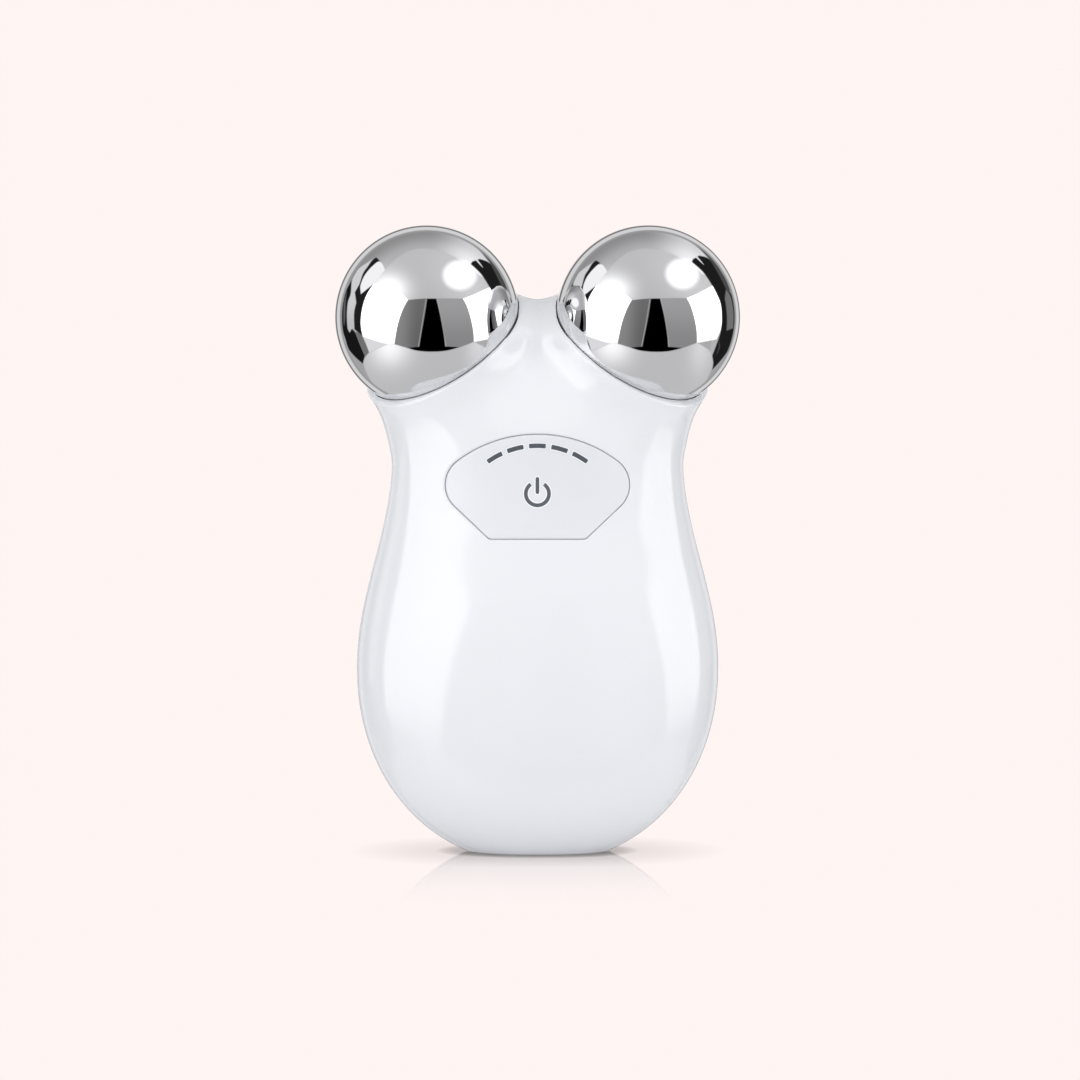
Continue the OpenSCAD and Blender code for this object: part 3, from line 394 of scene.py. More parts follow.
# near a sphere's centre the groove fades: from this distance out, over this width, and down to this share
FADE_FROM, FADE_OVER, FADE_LEAST = 17.5, 1.5, 0.1
BASE_ROUND = 0.4
low_z = np.concatenate([BASE_ROUND * (np.arange(8) / 7.0) ** 2, np.linspace(BASE_ROUND, SPINE_LOW, 13)[1:-1]])
side_z = np.linspace(SPINE_LOW, SPINE_HIGH, 57)
top_e = np.linspace(0, 90, 50)[1:-1]
ROW_Z = np.concatenate([low_z, side_z, np.full(len(top_e), SPINE_HIGH)])
ROW_E = np.radians(np.concatenate([np.zeros(len(low_z) + len(side_z)), top_e]))
ROW_LEVEL = -((math.sqrt(BASE_ROUND) - np.sqrt(np.minimum(ROW_Z, BASE_ROUND))) ** 2)
FAN, ACROSS = 40, 40


def shell_grid(side):
    """Skin and lining points of one half of the housing, rows by columns, from right to left."""

    def sheet(z, level):
        half = SPINE_HALF * np.cos(ROW_E) * np.minimum(1, 0.5 + ROW_Z / SPINE_LOW / 2)
        rows = len(z)
        edge_from = np.stack([half, np.full(rows, float(PARTING)), z], -1)
        edge_way = np.stack([np.cos(ROW_E), np.zeros(rows), np.sin(ROW_E)], -1)
        t = cast(edge_from, edge_way, level)
        first = np.arcsin(np.minimum(0.3, GROOVE_W / (t * np.cos(ROW_E))))
        fan = [np.zeros(rows), first * 0.5, first]
        fan += [first + (np.pi / 2 - first) * k / FAN for k in range(1, FAN + 1)]
        fan = np.array(fan).T
        flat = np.linspace(1, -1, ACROSS + 1)[1:]
        turn = np.concatenate([fan, np.full((rows, ACROSS - 1), np.pi / 2), np.pi - fan[:, ::-1]], 1)
        place = np.concatenate([np.ones(fan.shape), np.tile(flat[:-1], (rows, 1)), -np.ones(fan.shape)], 1)
        deep = np.full(turn.shape, float(PARTING))
        origin = np.stack([half[:, None] * place, deep, np.repeat(z[:, None], turn.shape[1], 1)], -1)
        ce, se = np.cos(ROW_E)[:, None], np.sin(ROW_E)[:, None]
        way = np.stack([ce * np.cos(turn), side * ce * np.sin(turn), se + 0 * turn], -1)
        return origin, way, cast(origin, way, level[:, None])

    origin, way, t = sheet(ROW_Z, ROW_LEVEL)
    shallow = GROOVE_D * GROOVE_SIDE
    for column, depth in ((0, GROOVE_D), (1, shallow), (-2, shallow), (-1, GROOVE_D)):
        seam = origin[:, column] + t[:, column, None] * way[:, column]
        far = np.linalg.norm(np.abs(seam) * [1, 0, 1] + [0, PARTING, 0] - BALL, axis=1)
        t[:, column] -= depth * np.clip((far - FADE_FROM) / FADE_OVER, FADE_LEAST, 1)
    skin = origin + t[..., None] * way
    lifted = np.where(ROW_Z < SPINE_LOW, FLOOR_T + ROW_Z * (SPINE_LOW - FLOOR_T) / SPINE_LOW, ROW_Z)
    origin, way, t = sheet(lifted, np.zeros(len(lifted)))
    normal = form_normal(origin + t[..., None] * way)
    lean = np.maximum(0.5, (normal * way).sum(-1))
    lining = origin + (t - WALL / lean)[..., None] * way
    return skin, lining


def half_shell(name, side):
    skin, lining = shell_grid(side)
    rows, cols = skin.shape[:2]
    top = SPINE_HIGH + cast(np.array([0, PARTING, SPINE_HIGH]), np.array([0, 0, 1.0]))
    ends = [[0, PARTING, z] for z in (0, top - GROOVE_D, FLOOR_T, top - WALL)]
    points = np.concatenate([skin.reshape(-1, 3), lining.reshape(-1, 3), ends])
    count = rows * cols
    faces = []
    for base, low, high in ((0, 2 * count, 2 * count + 1), (count, 2 * count + 2, 2 * count + 3)):
        faces += grid_faces(rows, cols, base)
        faces += [(low, base + i + 1, base + i) for i in range(cols - 1)]
        last = base + (rows - 1) * cols
        faces += [(high, last + i, last + i + 1) for i in range(cols - 1)]
    edge = [2 * count] + [j * cols for j in range(rows)] + [2 * count + 1]
    edge += [j * cols + cols - 1 for j in range(rows - 1, -1, -1)]
    inner = [2 * count + 2] + [e + count for e in edge[1 : rows + 1]] + [2 * count + 3]
    inner += [e + count for e in edge[rows + 2 :]]
    for k in range(len(edge)):
        m = (k + 1) % len(edge)
        faces.append((edge[k], edge[m], inner[m], inner[k]))
    return add_body(name, points, faces)


def bend(a, b, c, t):
    """Point on the curve that leaves a towards b and ends at c coming from b."""
    return (1 - t) ** 2 * a + 2 * t * (1 - t) * b + t * t * c


CUTTER_R, CUTTER_TOP, SURELY_INSIDE = 25, 30, 24


def cup_line():
    """A cup's inside as radius and height on the rim's axis: pocket, throat, rounded lip and rim plane."""
    pocket, throat = BALL_R + BALL_GAP, BALL_R + LIP_GAP
    mouth = math.sqrt(throat**2 - RIM_DROP**2)
    lip_back = LIP_R * math.tan((math.pi / 2 - math.asin(RIM_DROP / throat)) / 2)
    stop = math.atan2(mouth, RIM_DROP) - lip_back / throat
    line = [(pocket * math.sin(t), -pocket * math.cos(t)) for t in np.linspace(0.04, stop - 0.038, 30)]
    line += [(throat * math.sin(t), -throat * math.cos(t)) for t in (stop - 0.030, stop - 0.015, stop)]
    start, corner, end = np.array([line[-1], (mouth, -RIM_DROP), (mouth + lip_back, -RIM_DROP)])
    line += [bend(start, corner, end, t) for t in np.linspace(0, 1, 7)[1:]]
    return np.array([*line, *((r, -RIM_DROP) for r in (mouth + 0.25, mouth + 0.5, CUTTER_R))])


def cup_cutter(side, turns=200):
    """The space of one cup up to where its inside leaves the housing, with a rounded edge there."""
    line = cup_line()
    gone = np.append(0, np.cumsum(np.linalg.norm(np.diff(line, axis=0), axis=1)))
    out = spokes(RIM_SIDE, RIM_TURN, turns)

    def at(r, a):
        return BALL + np.asarray(r)[..., None] * out + np.asarray(a)[..., None] * RIM_AXIS

    def along(s):
        return np.interp(s, gone, line[:, 0]), np.interp(s, gone, line[:, 1])

    s = np.full(turns, gone[SURELY_INSIDE])
    for _ in range(260):
        s = s + np.clip(-form(at(*along(s))), 0, 0.05)
    for _ in range(12):
        s = s - form(at(*along(s))) * 0.6
    r, a = along(s)
    ahead, behind = along(s + 0.01), along(s - 0.01)
    dr, da = ahead[0] - behind[0], ahead[1] - behind[1]
    dr, da = dr / np.hypot(dr, da), da / np.hypot(dr, da)
    g = form_normal(at(r, a))
    nr, na = (g * out).sum(1), g @ RIM_AXIS
    nr, na = nr / np.hypot(nr, na), na / np.hypot(nr, na)
    tr, ta = na, -nr
    back = np.minimum(EDGE_R * np.tan(np.arccos(np.clip(dr * tr + da * ta, -0.97, 1)) / 2), EDGE_MAX)
    start = s - back
    end_r, end_a = r + back * tr, a + back * ta
    for _ in range(8):
        f = form(at(end_r, end_a))
        end_r, end_a = end_r - f * nr, end_a - f * na
    rings = [at(*along(np.minimum(k, start - 0.004 * (len(gone) - i)))) for i, k in enumerate(gone[:-1])]
    from_r, from_a = along(start)
    rings += [at(bend(from_r, r, end_r, t), bend(from_a, a, end_a, t)) for t in np.linspace(0, 1, 12)]
    rings += [at(end_r + u * tr + v * nr, end_a + u * ta + v * na) for u, v in ((0.2, 0.05), (1.2, 1.2))]
    full = np.ones(turns)
    rings += [at(full * CUTTER_R, full * a) for a in (3, CUTTER_TOP)]
    points, faces = lathe_like(rings, BALL - (BALL_R + BALL_GAP) * RIM_AXIS, BALL + CUTTER_TOP * RIM_AXIS)
    return to_side(np.array(points), side), faces


# the panel's outline, and its plate, skirt and flange
PANEL_Z, PANEL_UP, PANEL_DOWN = 65, 8.8, 9.35
TOP_R, FOOT, SLOPE, SIDE_R, FOOT_R = 23.5, 8.35, math.radians(43.3), 5.1, 0.9
PANEL_RECESS, PANEL_T, SKIRT_T, PANEL_GAP = 0.35, 1.2, 1.2, 0.07
FLANGE_W, FLANGE_T, FLANGE_GAP = 1.2, 0.9, 0.35


def panel_outline():
    """The panel's outline as points and outward normals, from the middle of its foot round."""
    top_c = np.array([0, PANEL_Z + PANEL_UP - TOP_R])
    foot_z = PANEL_Z - PANEL_DOWN
    along = np.array([math.cos(SLOPE), math.sin(SLOPE)])
    off = np.array([math.sin(SLOPE), -math.cos(SLOPE)])
    # side corner: on the line moved in by its radius, and on the circle of the difference of radii
    start = np.array([FOOT, foot_z]) - off * SIDE_R - top_c
    b = start @ along
    c = start @ start - (TOP_R - SIDE_R) ** 2
    side_c = start + (-b + math.sqrt(b * b - c)) * along + top_c
    # foot corner: between the flat bottom and the sloped side
    foot_c = np.array([FOOT - FOOT_R * math.tan(SLOPE / 2), foot_z + FOOT_R])
    top_angle = math.atan2(side_c[1] - top_c[1], side_c[0] - top_c[0])
    points, normals = [], []

    def straight(start, end, normal, shares):
        for t in shares:
            points.append(start * (1 - t) + end * t)
            normals.append(normal)

    def arc(centre, radius, angles):
        for angle in angles:
            normal = np.array([math.cos(angle), math.sin(angle)])
            points.append(centre + radius * normal)
            normals.append(normal)

    down = np.array([0.0, -1.0])
    straight(np.array([0, foot_z]), foot_c + FOOT_R * down, down, np.linspace(0, 1, 14)[:-1])
    arc(foot_c, FOOT_R, np.linspace(-math.pi / 2, SLOPE - math.pi / 2, 8))
    straight(points[-1], side_c + SIDE_R * off, off, np.linspace(0, 1, 12)[1:-1])
    arc(side_c, SIDE_R, np.linspace(SLOPE - math.pi / 2, top_angle, 26))
    arc(top_c, TOP_R, np.linspace(top_angle, math.pi / 2, 30)[1:])
    flip = np.array([-1, 1])
    points += [p * flip for p in points[-2:0:-1]]
    normals += [n * flip for n in normals[-2:0:-1]]
    return np.array(points), np.array(normals)


OUT_P, OUT_N = panel_outline()
PANEL_MID = np.array([0, 64.6])


def under_face(x, z):
    """Points on the front shell's face, and how far a step square to it goes along Y."""
    p = np.stack([x, skin_y(x, z), z], -1)
    return p, 1 / np.maximum(0.5, -form_normal(p)[:, 1])


def on_face(xz, depth):
    """Points a set depth under the shell's face, measured square to it as the plate is."""
    p, lean = under_face(xz[:, 0], xz[:, 1])
    p[:, 1] += depth * lean
    return p


def panel_ring(grow, depth, share=1.0):
    """The panel's outline grown and then drawn in to a share of its size, at a depth under the face."""
    edge = OUT_P + grow * OUT_N
    return on_face(edge if share == 1 else PANEL_MID + share * (edge - PANEL_MID), depth)


def panel_middle(depth):
    return on_face(PANEL_MID[None], depth)[0]


def opening_cutter():
    deep, high = 6.0, -4.0
    profile = [
        (PANEL_GAP, deep), (PANEL_GAP, 0.34), (0.12, 0.24), (0.17, 0.15), (0.25, 0.075), (0.36, 0.025),
        (0.5, -0.003), (0.7, -0.04), (1.2, -0.4), (1.6, high),
    ]
    return lathe_like([panel_ring(g, d) for g, d in profile], panel_middle(deep), panel_middle(high))


CAP_LEN, CAP_R, CAP_FLANGE, CAP_FLANGE_T, CAP_GAP, PORT_R = 9.6, 5.6, 1.2, 1.2, 0.1, 3


def cap_ring(grow, z, share=0.0, n=24):
    """The base cap's outline grown, or a share of the way from it to the port's hole."""
    half_length, r = CAP_LEN + grow, CAP_R + grow
    a = np.linspace(-np.pi / 2, np.pi / 2, n)
    right = np.stack([half_length - r + r * np.cos(a), r * np.sin(a)], -1)
    across = np.linspace(half_length - r, -(half_length - r), 14)[1:-1]
    top = np.stack([across, np.full(len(across), r)], -1)
    edge = np.concatenate([right, top, -right, -top])
    turn = np.arctan2(edge[:, 1], edge[:, 0])
    hole = np.stack([np.cos(turn), np.sin(turn)], -1) * (PORT_R + (grow if share else 0))
    return np.column_stack([edge * (1 - share) + hole * share, np.full(len(edge), float(z))])


def base_cutter():
    above = FLOOR_T + CAP_FLANGE_T + 1
    profile = [
        (0.6, -1), (0.32, -0.02), (0.22, 0.03), (0.13, 0.12), (CAP_GAP, 0.25), (CAP_GAP, FLOOR_T),
        (CAP_FLANGE + CAP_GAP, FLOOR_T + 0.001), (CAP_FLANGE + CAP_GAP, above),
    ]
    return lathe_like([cap_ring(g, z) for g, z in profile], [0, 0, -1], [0, 0, above])


SKIN_CLOSE = 0.012


def rim_depths(points):
    """How deep points lie under the rim's plane and behind the throat's wall, and their way from the ball."""
    v = points * np.where(points[:, :1] > 0, 1, -1) ** np.array([1, 0, 0]) - BALL
    return -RIM_DROP - v @ RIM_AXIS, np.linalg.norm(v, axis=1) - BALL_R - LIP_GAP, v


def on_shell(points):
    """Whether points lie on the skin or on the rounded rim of a cup."""
    under, behind, _ = rim_depths(points)
    inside = -form(points)
    edge = (np.minimum(under, behind) > -0.002) & (np.minimum(under, behind) < EDGE_R) & (behind < 4)
    edge &= (inside > -SKIN_CLOSE) & (inside < EDGE_R) & (np.maximum(under, behind) > 0.14)
    return (np.abs(inside) < SKIN_CLOSE) & (points[:, 2] > BASE_ROUND * 1.05) | edge


def shell_normal(points):
    """The form's normal, turning into the inner face's one across the rounded rim of a cup."""
    under, behind, v = rim_depths(points)
    mirror = np.column_stack([np.sign(points[:, 0]), np.ones((len(points), 2))])
    face = np.where((under < behind)[:, None], RIM_AXIS, -unit(v)) * mirror
    a = np.clip(1 - np.minimum(under, behind) / EDGE_R, 0, 1) * (behind < 4)
    b = np.clip(1 + form(points) / EDGE_R, 0, 1)
    return unit(form_normal(points) * b[:, None] + face * (a * (under > -0.01) * (behind > -0.01))[:, None])


cutters = [cup_cutter(1), cup_cutter(-1), base_cutter()]
for name, side, more in (("front_shell", -1, [opening_cutter()]), ("rear_shell", 1, [])):
    shell = half_shell(name + "_skin", side)
    cut(shell, *cutters, *more)
    smooth(shell, 34, shell_normal, on_shell)
    finish_piece(shell, "gloss_white", "body", name)

# ---------------------------------------------------------------- sphere electrodes


def sphere_piece(name, side, turns=128):
    inner_r = BALL_R - BALL_WALL
    end, end_in = (math.acos(-BALL_OPEN / r) for r in (BALL_R, inner_r))
    edge_out, edge_in = (math.sqrt(r**2 - BALL_OPEN**2) for r in (BALL_R, inner_r))
    profile = [(BALL_R * math.sin(t), BALL_R * math.cos(t)) for t in np.linspace(0, end - 0.006, 78)[1:]]
    profile += [(edge_out - 0.12, -BALL_OPEN), (edge_in + 0.1, -BALL_OPEN)]
    back = np.linspace(end_in - 0.008, 0, 40)[:-1]
    profile += [(inner_r * math.sin(t), inner_r * math.cos(t)) for t in back]
    out = spokes(SIDE_DIR, TURN_DIR, turns)
    rings = [BALL + r * out + a * AXIS for r, a in profile]
    points, faces = lathe_like(rings, BALL + BALL_R * AXIS, BALL + inner_r * AXIS)
    ball = add_body(name + "_shell", to_side(np.array(points), side), faces)
    centre = to_side(BALL, side)

    def exact(p):
        return unit(p - centre)

    def near(p):
        return np.abs(np.linalg.norm(p - centre, axis=1) - BALL_R) < 0.004

    smooth(ball, 40, exact, near)
    finish_piece(ball, "chrome", "body", name)


SEAL_TOP, SEAL_BOTTOM, SEAL_OUT, SEAL_IN = 0.7, 4.2, 0.19, 0.01


def seals_piece(turns=128):
    """The two rubber rings that close the gaps a little below the cups' rims."""
    out = spokes(RIM_SIDE, RIM_TURN, turns)
    low, high = (math.acos((RIM_DROP + under) / BALL_R) for under in (SEAL_BOTTOM, SEAL_TOP))
    profile = [(BALL_R + SEAL_OUT, t) for t in np.linspace(low, high - 0.004, 9)]
    profile += [(BALL_R + 0.15, high), (BALL_R + 0.05, high)]
    profile += [(BALL_R + SEAL_IN, t) for t in np.linspace(high - 0.004, low, 9)]
    points, faces = [], []
    for side in (-1, 1):
        faces += closed_grid_faces(len(profile), turns, len(points))
        for r, t in profile:
            points += list(to_side(BALL + r * math.sin(t) * out - r * math.cos(t) * RIM_AXIS, side))
    seals = add_body("sphere_seals_rings", points, faces)
    smooth(seals, 40)
    finish_piece(seals, "seal_black", "body", "sphere_seals")


sphere_piece("right_sphere", 1)
sphere_piece("left_sphere", -1)
seals_piece()

# ---------------------------------------------------------------- base cap


def base_cap():
    """A flat cap with a flange inside, lathed from inside the port round under its face and up again."""
    top, soft = FLOOR_T + CAP_FLANGE_T, 0.15
    profile = [
        (0, 1.2, 1.0), (0, 0.5, 1.0), (0.02, 0.22, 1.0), (0.12, 0.08, 1.0), (0.3, 0.02, 1.0), (0.5, 0.0, 1.0),
        (-0.3, 0.0, 0.66), (-0.35, 0.0, 0.33), (-0.4, 0.0, 0.0), (-0.2, 0.02, 0.0), (-0.08, 0.08, 0.0),
        (-0.02, 0.2, 0.0), (0.0, 0.4, 0.0), (0.0, FLOOR_T, 0.0), (CAP_FLANGE, FLOOR_T, 0.0),
        (CAP_FLANGE, top - soft, 0.0), (CAP_FLANGE - soft, top, 0.0), (0.0, top, 0.5), (soft, top, 1.0),
        (0, top - soft, 1.0),
    ]
    rings = [cap_ring(*row) for row in profile]
    cap = add_body("base_cap_moulding", np.concatenate(rings), closed_grid_faces(len(rings), len(rings[0])))
    smooth(cap, 35)
    finish_piece(cap, "cap_white", "body", "base_cap")


base_cap()

# ---------------------------------------------------------------- control panel

WINDOW_N, WINDOW_R, WINDOW_DOWN, WINDOW_STEP = 5, 14.8, 8.0, 15.0
WINDOW_L, WINDOW_H, WINDOW_CORNER, OUTLINE = 2.9, 0.78, 0.12, 0.17


def bar_outline(k, grow, dense=10):
    """Outline of one level window in X and Z: a short piece of an arc with small round corners."""
    middle = (k - (WINDOW_N - 1) / 2) * math.radians(WINDOW_STEP)
    c = WINDOW_CORNER + max(grow, 0) * 0.6
    half = np.array([WINDOW_L, WINDOW_H]) / 2 + grow - c
    corners = []
    for quarter, to in enumerate(((1, 1), (-1, 1), (-1, -1), (1, -1))):
        a = np.radians(np.linspace(0, 90, 6) + 90 * quarter)
        corners += list(half * to + c * np.column_stack([np.cos(a), np.sin(a)]))
    points = []
    for a, b in zip(corners, corners[1:] + corners[:1]):
        count = dense if np.linalg.norm(b - a) > 1 else 1
        points += [a + (b - a) * t for t in np.linspace(0, 1, count, endpoint=False)]
    along, up = np.array(points).T
    turn, r = middle + along / WINDOW_R, WINDOW_R + up
    return np.stack([r * np.sin(turn), PANEL_Z - WINDOW_DOWN + r * np.cos(turn)], -1)


def prism(outlines, depths):
    """A closed body from outlines in X and Z at depths under the shell's face."""
    rings = [on_face(xz, d) for xz, d in zip(outlines, depths)]
    first, last = outlines[0].mean(0)[None], outlines[-1].mean(0)[None]
    return lathe_like(rings, on_face(first, depths[0])[0], on_face(last, depths[-1])[0])


PLATE_SHARES = (0.06, 0.14, 0.22, 0.3, 0.38, 0.46, 0.54, 0.62, 0.7, 0.78, 0.85, 0.91, 0.96)


def panel_piece():
    """The key: a plate with rounded edges, slots for the windows, a skirt, and a flange behind the shell."""
    face, plate_back = PANEL_RECESS, PANEL_RECESS + PANEL_T
    flange_top = WALL + FLANGE_GAP
    flange_foot = flange_top + FLANGE_T
    rings = [panel_ring(-0.5, face, share) for share in PLATE_SHARES]
    profile = [
        (-0.5, face), (-0.38, face + 0.004), (-0.27, face + 0.02), (-0.17, face + 0.055),
        (-0.09, face + 0.115), (-0.03, face + 0.2), (0, face + 0.32), (0, 1.0), (0, flange_top),
        (FLANGE_W - 0.1, flange_top), (FLANGE_W, flange_top + 0.1), (FLANGE_W, flange_foot),
        (-SKIRT_T, flange_foot), (-SKIRT_T, plate_back + 0.1), (-SKIRT_T - 0.1, plate_back),
    ]
    rings += [panel_ring(g, d) for g, d in profile]
    rings += [panel_ring(-SKIRT_T - 0.1, plate_back, share) for share in (0.8, 0.6, 0.4, 0.2)]
    key = add_body("control_panel_key", *lathe_like(rings, panel_middle(face), panel_middle(plate_back)))
    cut(key, *(prism([bar_outline(k, OUTLINE + 0.01)] * 2, [-1.0, 2.2]) for k in range(WINDOW_N)))

    def near(p):
        q, lean = under_face(p[:, 0], p[:, 2])
        return np.abs(p[:, 1] - q[:, 1] - face * lean) < 0.003

    def exact(p):
        return form_normal(under_face(p[:, 0], p[:, 2])[0])

    smooth(key, 34, exact, near, 12)
    finish_piece(key, "panel_grey", "panel", "control_panel")


def joined(name, parts, materials, picks):
    """One mesh of several closed bodies, with a material number for each body or for each of its faces."""
    points, faces, which = [], [], []
    for (p, f), pick in zip(parts, picks):
        base = len(points)
        points += list(p)
        faces += [tuple(i + base for i in face) for face in f]
        which += [pick] * len(f) if isinstance(pick, int) else list(pick)
    mesh = mesh_from(name, points, faces)
    for m in materials:
        mesh.materials.append(LOOKS[m])
    mesh.polygons.foreach_set("material_index", which)
    return add_object(name, outward(mesh))


def windows_piece():
    """The level windows, each with a thin white outline round its dark bar."""
    face = PANEL_RECESS
    profile = [
        (OUTLINE, face + PANEL_T), (OUTLINE, face + 0.02), (OUTLINE - 0.03, face - 0.01), (0.03, face - 0.01),
        (0.0, face + 0.015), (-0.04, face + 0.02), (-0.16, face + 0.012),
    ]
    grows, depths = zip(*profile)
    bars = [prism([bar_outline(k, g) for g in grows], depths) for k in range(WINDOW_N)]
    n = len(bar_outline(0, 0))
    bands = [1] * (4 * n) + [0] * (4 * n)
    windows = joined("level_windows_bars", bars, ["window_grey", "print_white"], [bands] * WINDOW_N)
    smooth(windows, 30)
    finish_piece(windows, "window_grey", "panel", "level_windows")


RING_OUT, RING_IN, RING_GAP = 2.33, 1.68, math.radians(35)
BAR_TOP, BAR_FOOT, BAR_W = 66.4, 63.45, 0.63
SIGN_Z, SIGN_EDGE = 63.5, 0.17


def arc_outline(grow):
    """Outline of the sign's open ring, clockwise round its outer side and back along its inner one."""
    half, middle = (RING_OUT - RING_IN) / 2 + grow, (RING_OUT + RING_IN) / 2
    start = RING_GAP - grow / middle * 0.5
    a = np.linspace(start, 2 * np.pi - start, 70)
    way = np.column_stack([np.sin(a), np.cos(a)])
    return np.concatenate([(middle + half) * way, (middle - half) * way[::-1]]) + [0, SIGN_Z]


def stroke_outline(grow):
    """Outline of the sign's upright stroke with its round ends."""
    r = BAR_W / 2
    a = np.linspace(0, np.pi, 14)
    end = (r + grow) * np.column_stack([np.cos(a), np.sin(a)])
    return np.concatenate([end + [0, BAR_TOP - r], -end + [0, BAR_FOOT + r]])


def ribbon(outline, top, bottom):
    """A thin closed print between two depths. The outline is two equal halves that run side by side."""
    n = len(outline)
    points = [*on_face(outline, top), *on_face(outline, bottom)]
    faces = []
    for i in range(n // 2 - 1):
        a, b, c, d = i, i + 1, n - 2 - i, n - 1 - i
        faces += [(a, b, c, d), (a + n, d + n, c + n, b + n)]
    faces += [(i, i + n, (i + 1) % n + n, (i + 1) % n) for i in range(n)]
    return points, faces


def power_sign():
    face = PANEL_RECESS
    under, over = (face - 0.008, face + 0.1), (face - 0.014, face + 0.05)
    parts = [
        ribbon(arc_outline(SIGN_EDGE), *under), ribbon(arc_outline(0.0), *over),
        prism([stroke_outline(SIGN_EDGE)] * 2, under), prism([stroke_outline(0.0)] * 2, over),
    ]
    sign = joined("power_sign", parts, ["print_white", "print_dark"], [0, 1, 0, 1])
    smooth(sign, 30)
    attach(sign, "panel")


panel_piece()
windows_piece()
power_sign()

# ---------------------------------------------------------------- stage

PALE = (1.0, 0.913, 0.896)
DAYLIGHT, DAYLIGHT_STRENGTH = (0.965, 0.98, 1.0, 1), 0.585


def blank_material(name):
    material = bpy.data.materials.new(name)
    material.use_nodes = True
    material.node_tree.nodes.clear()
    return material, material.node_tree


def maths(tree, operation, a, b):
    return put(tree, "Math", {0: a, 1: b}, operation=operation)


def seen_directly(tree):
    """1 for what the camera sees, straight or by way of a mirror or glass, and 0 for light on surfaces."""
    path = tree.nodes.new("ShaderNodeLightPath").outputs
    seen = maths(tree, "MAXIMUM", path["Is Camera Ray"], path["Is Glossy Ray"])
    return maths(tree, "MAXIMUM", seen, path["Is Transmission Ray"])


def make_world():
    world = bpy.data.worlds.new("studio")
    scene.world = world
    world.use_nodes = True
    tree = world.node_tree
    tree.nodes.clear()
    light = put(tree, "Background", {"Color": DAYLIGHT, "Strength": DAYLIGHT_STRENGTH})
    shown = put(tree, "Background", {"Color": (*PALE, 1)})
    final = put(tree, "MixShader", {0: seen_directly(tree), 1: light, 2: shown})
    put(tree, "OutputWorld", {"Surface": final})


MIRROR_NEAR, MIRROR_FAR, MIRROR_SHARE, FLOOR_IOR = 0.028, 0.072, 1.8, 1.22
FLOOR_TURNS, FLOOR_RINGS, FLOOR_DROP = 96, (30.0, 200.0, 1000.0, 5000.0), 0.00002


def make_floor():
    """A pale floor that keeps the soft shadow at the foot and a faint mirror image near it."""
    material, tree = blank_material("floor")

    def shade(distance, low, high, darkest):
        near = put(tree, "AmbientOcclusion", {"Distance": distance}, "AO", samples=16)
        return ramp(tree, near, low, high, darkest, 1.0)

    dim = maths(tree, "MULTIPLY", shade(0.013, 0.30, 1.0, 0.72), shade(0.003, 0.20, 0.80, 0.35))
    pale = put(tree, "Emission", {"Color": (*PALE, 1), "Strength": dim})
    away = put(tree, "VectorMath", {0: put(tree, "TexCoord", out="Object")}, "Value", operation="LENGTH")
    fade = ramp(tree, away, MIRROR_NEAR, MIRROR_FAR, 1.0, 0.0)
    fresnel = put(tree, "Fresnel", {"IOR": FLOOR_IOR})
    grazing = maths(tree, "MULTIPLY", fade, maths(tree, "MULTIPLY", fresnel, fresnel))
    shiny = put(tree, "BsdfGlossy", {"Color": (1, 1, 1, 1), "Roughness": 0.02})
    shown = put(tree, "MixShader", {0: maths(tree, "MULTIPLY", grazing, MIRROR_SHARE), 1: pale, 2: shiny})
    dull = put(tree, "BsdfDiffuse", {"Color": (0.95, 0.943, 0.95, 1)})
    final = put(tree, "MixShader", {0: seen_directly(tree), 1: dull, 2: shown})
    put(tree, "OutputMaterial", {"Surface": final})
    a = np.linspace(2 * np.pi, 0, FLOOR_TURNS, endpoint=False)
    rings = [np.column_stack([r * np.cos(a), r * np.sin(a), 0 * a]) for r in FLOOR_RINGS]
    floor = add_object("floor", mesh_from("floor", *lathe_like(rings, [0, 0, 0])))
    floor.location = (0, 0, -FLOOR_DROP)
    floor.data.materials.append(material)
    floor.visible_glossy = False


# The studio that the chrome and the gloss mirror: one wide shell, seen only in reflections. Its softboxes,
# flags, window and table are drawn where the left sphere shows them, or the right one for those
# named RIGHT_..., in pixels of the 1080-pixel frame. Each outline is a first point and then runs that go on
# from the last point: a curve through several points, or a straight line to a single one.
LEFT_PX, RIGHT_PX, EYES_APART = (426.9, 318.0, 92.6), (647.5, 317.0, 92.2), 0.041
CEILING = (
    (383, 274),
    [(390.2, 264.7), (400, 256.3), (411.2, 250.9), (423.8, 249.1), (437.4, 250.7), (448.9, 254.5),
     (460.3, 260.7), (471.8, 268.3), (480, 276)],
    [(560, 300)], [(560, 150), (300, 150), (300, 300)],
)
LEFT_SOFTBOX = (
    (373.6, 284.3), [(383, 288), (395, 292.5), (403, 296.2), (407.5, 300.4)],
    [(402.2, 310.4), (397.2, 325.7), (394.2, 344.8)], [(385, 344.2), (375.4, 341.6), (362.6, 337)],
    [(360.8, 329), (360.4, 321), (362.1, 309), (366.1, 296.3), (373.6, 284.3)],
)
SECOND_SOFTBOX = (
    (463, 298.9), [(472, 295.6), (480, 292), (490, 287.5)],
    [(495, 294), (498.5, 301.2), (499.5, 312.7), (497.5, 328), (493.5, 338)], [(481, 341.2), (473.6, 342.3)],
    [(473.2, 331.8), (471.1, 320.3), (467.2, 307.3), (463, 298.9)],
)
LEFT_FLAG = (
    (407.5, 300.4), [(416, 299.5), (426.7, 298.7)], [(424, 316.5), (420.6, 335.6), (418.6, 347.3)],
    [(406, 348), (394.2, 344.8)], [(397.2, 325.7), (402.2, 310.4), (407.5, 300.4)],
)
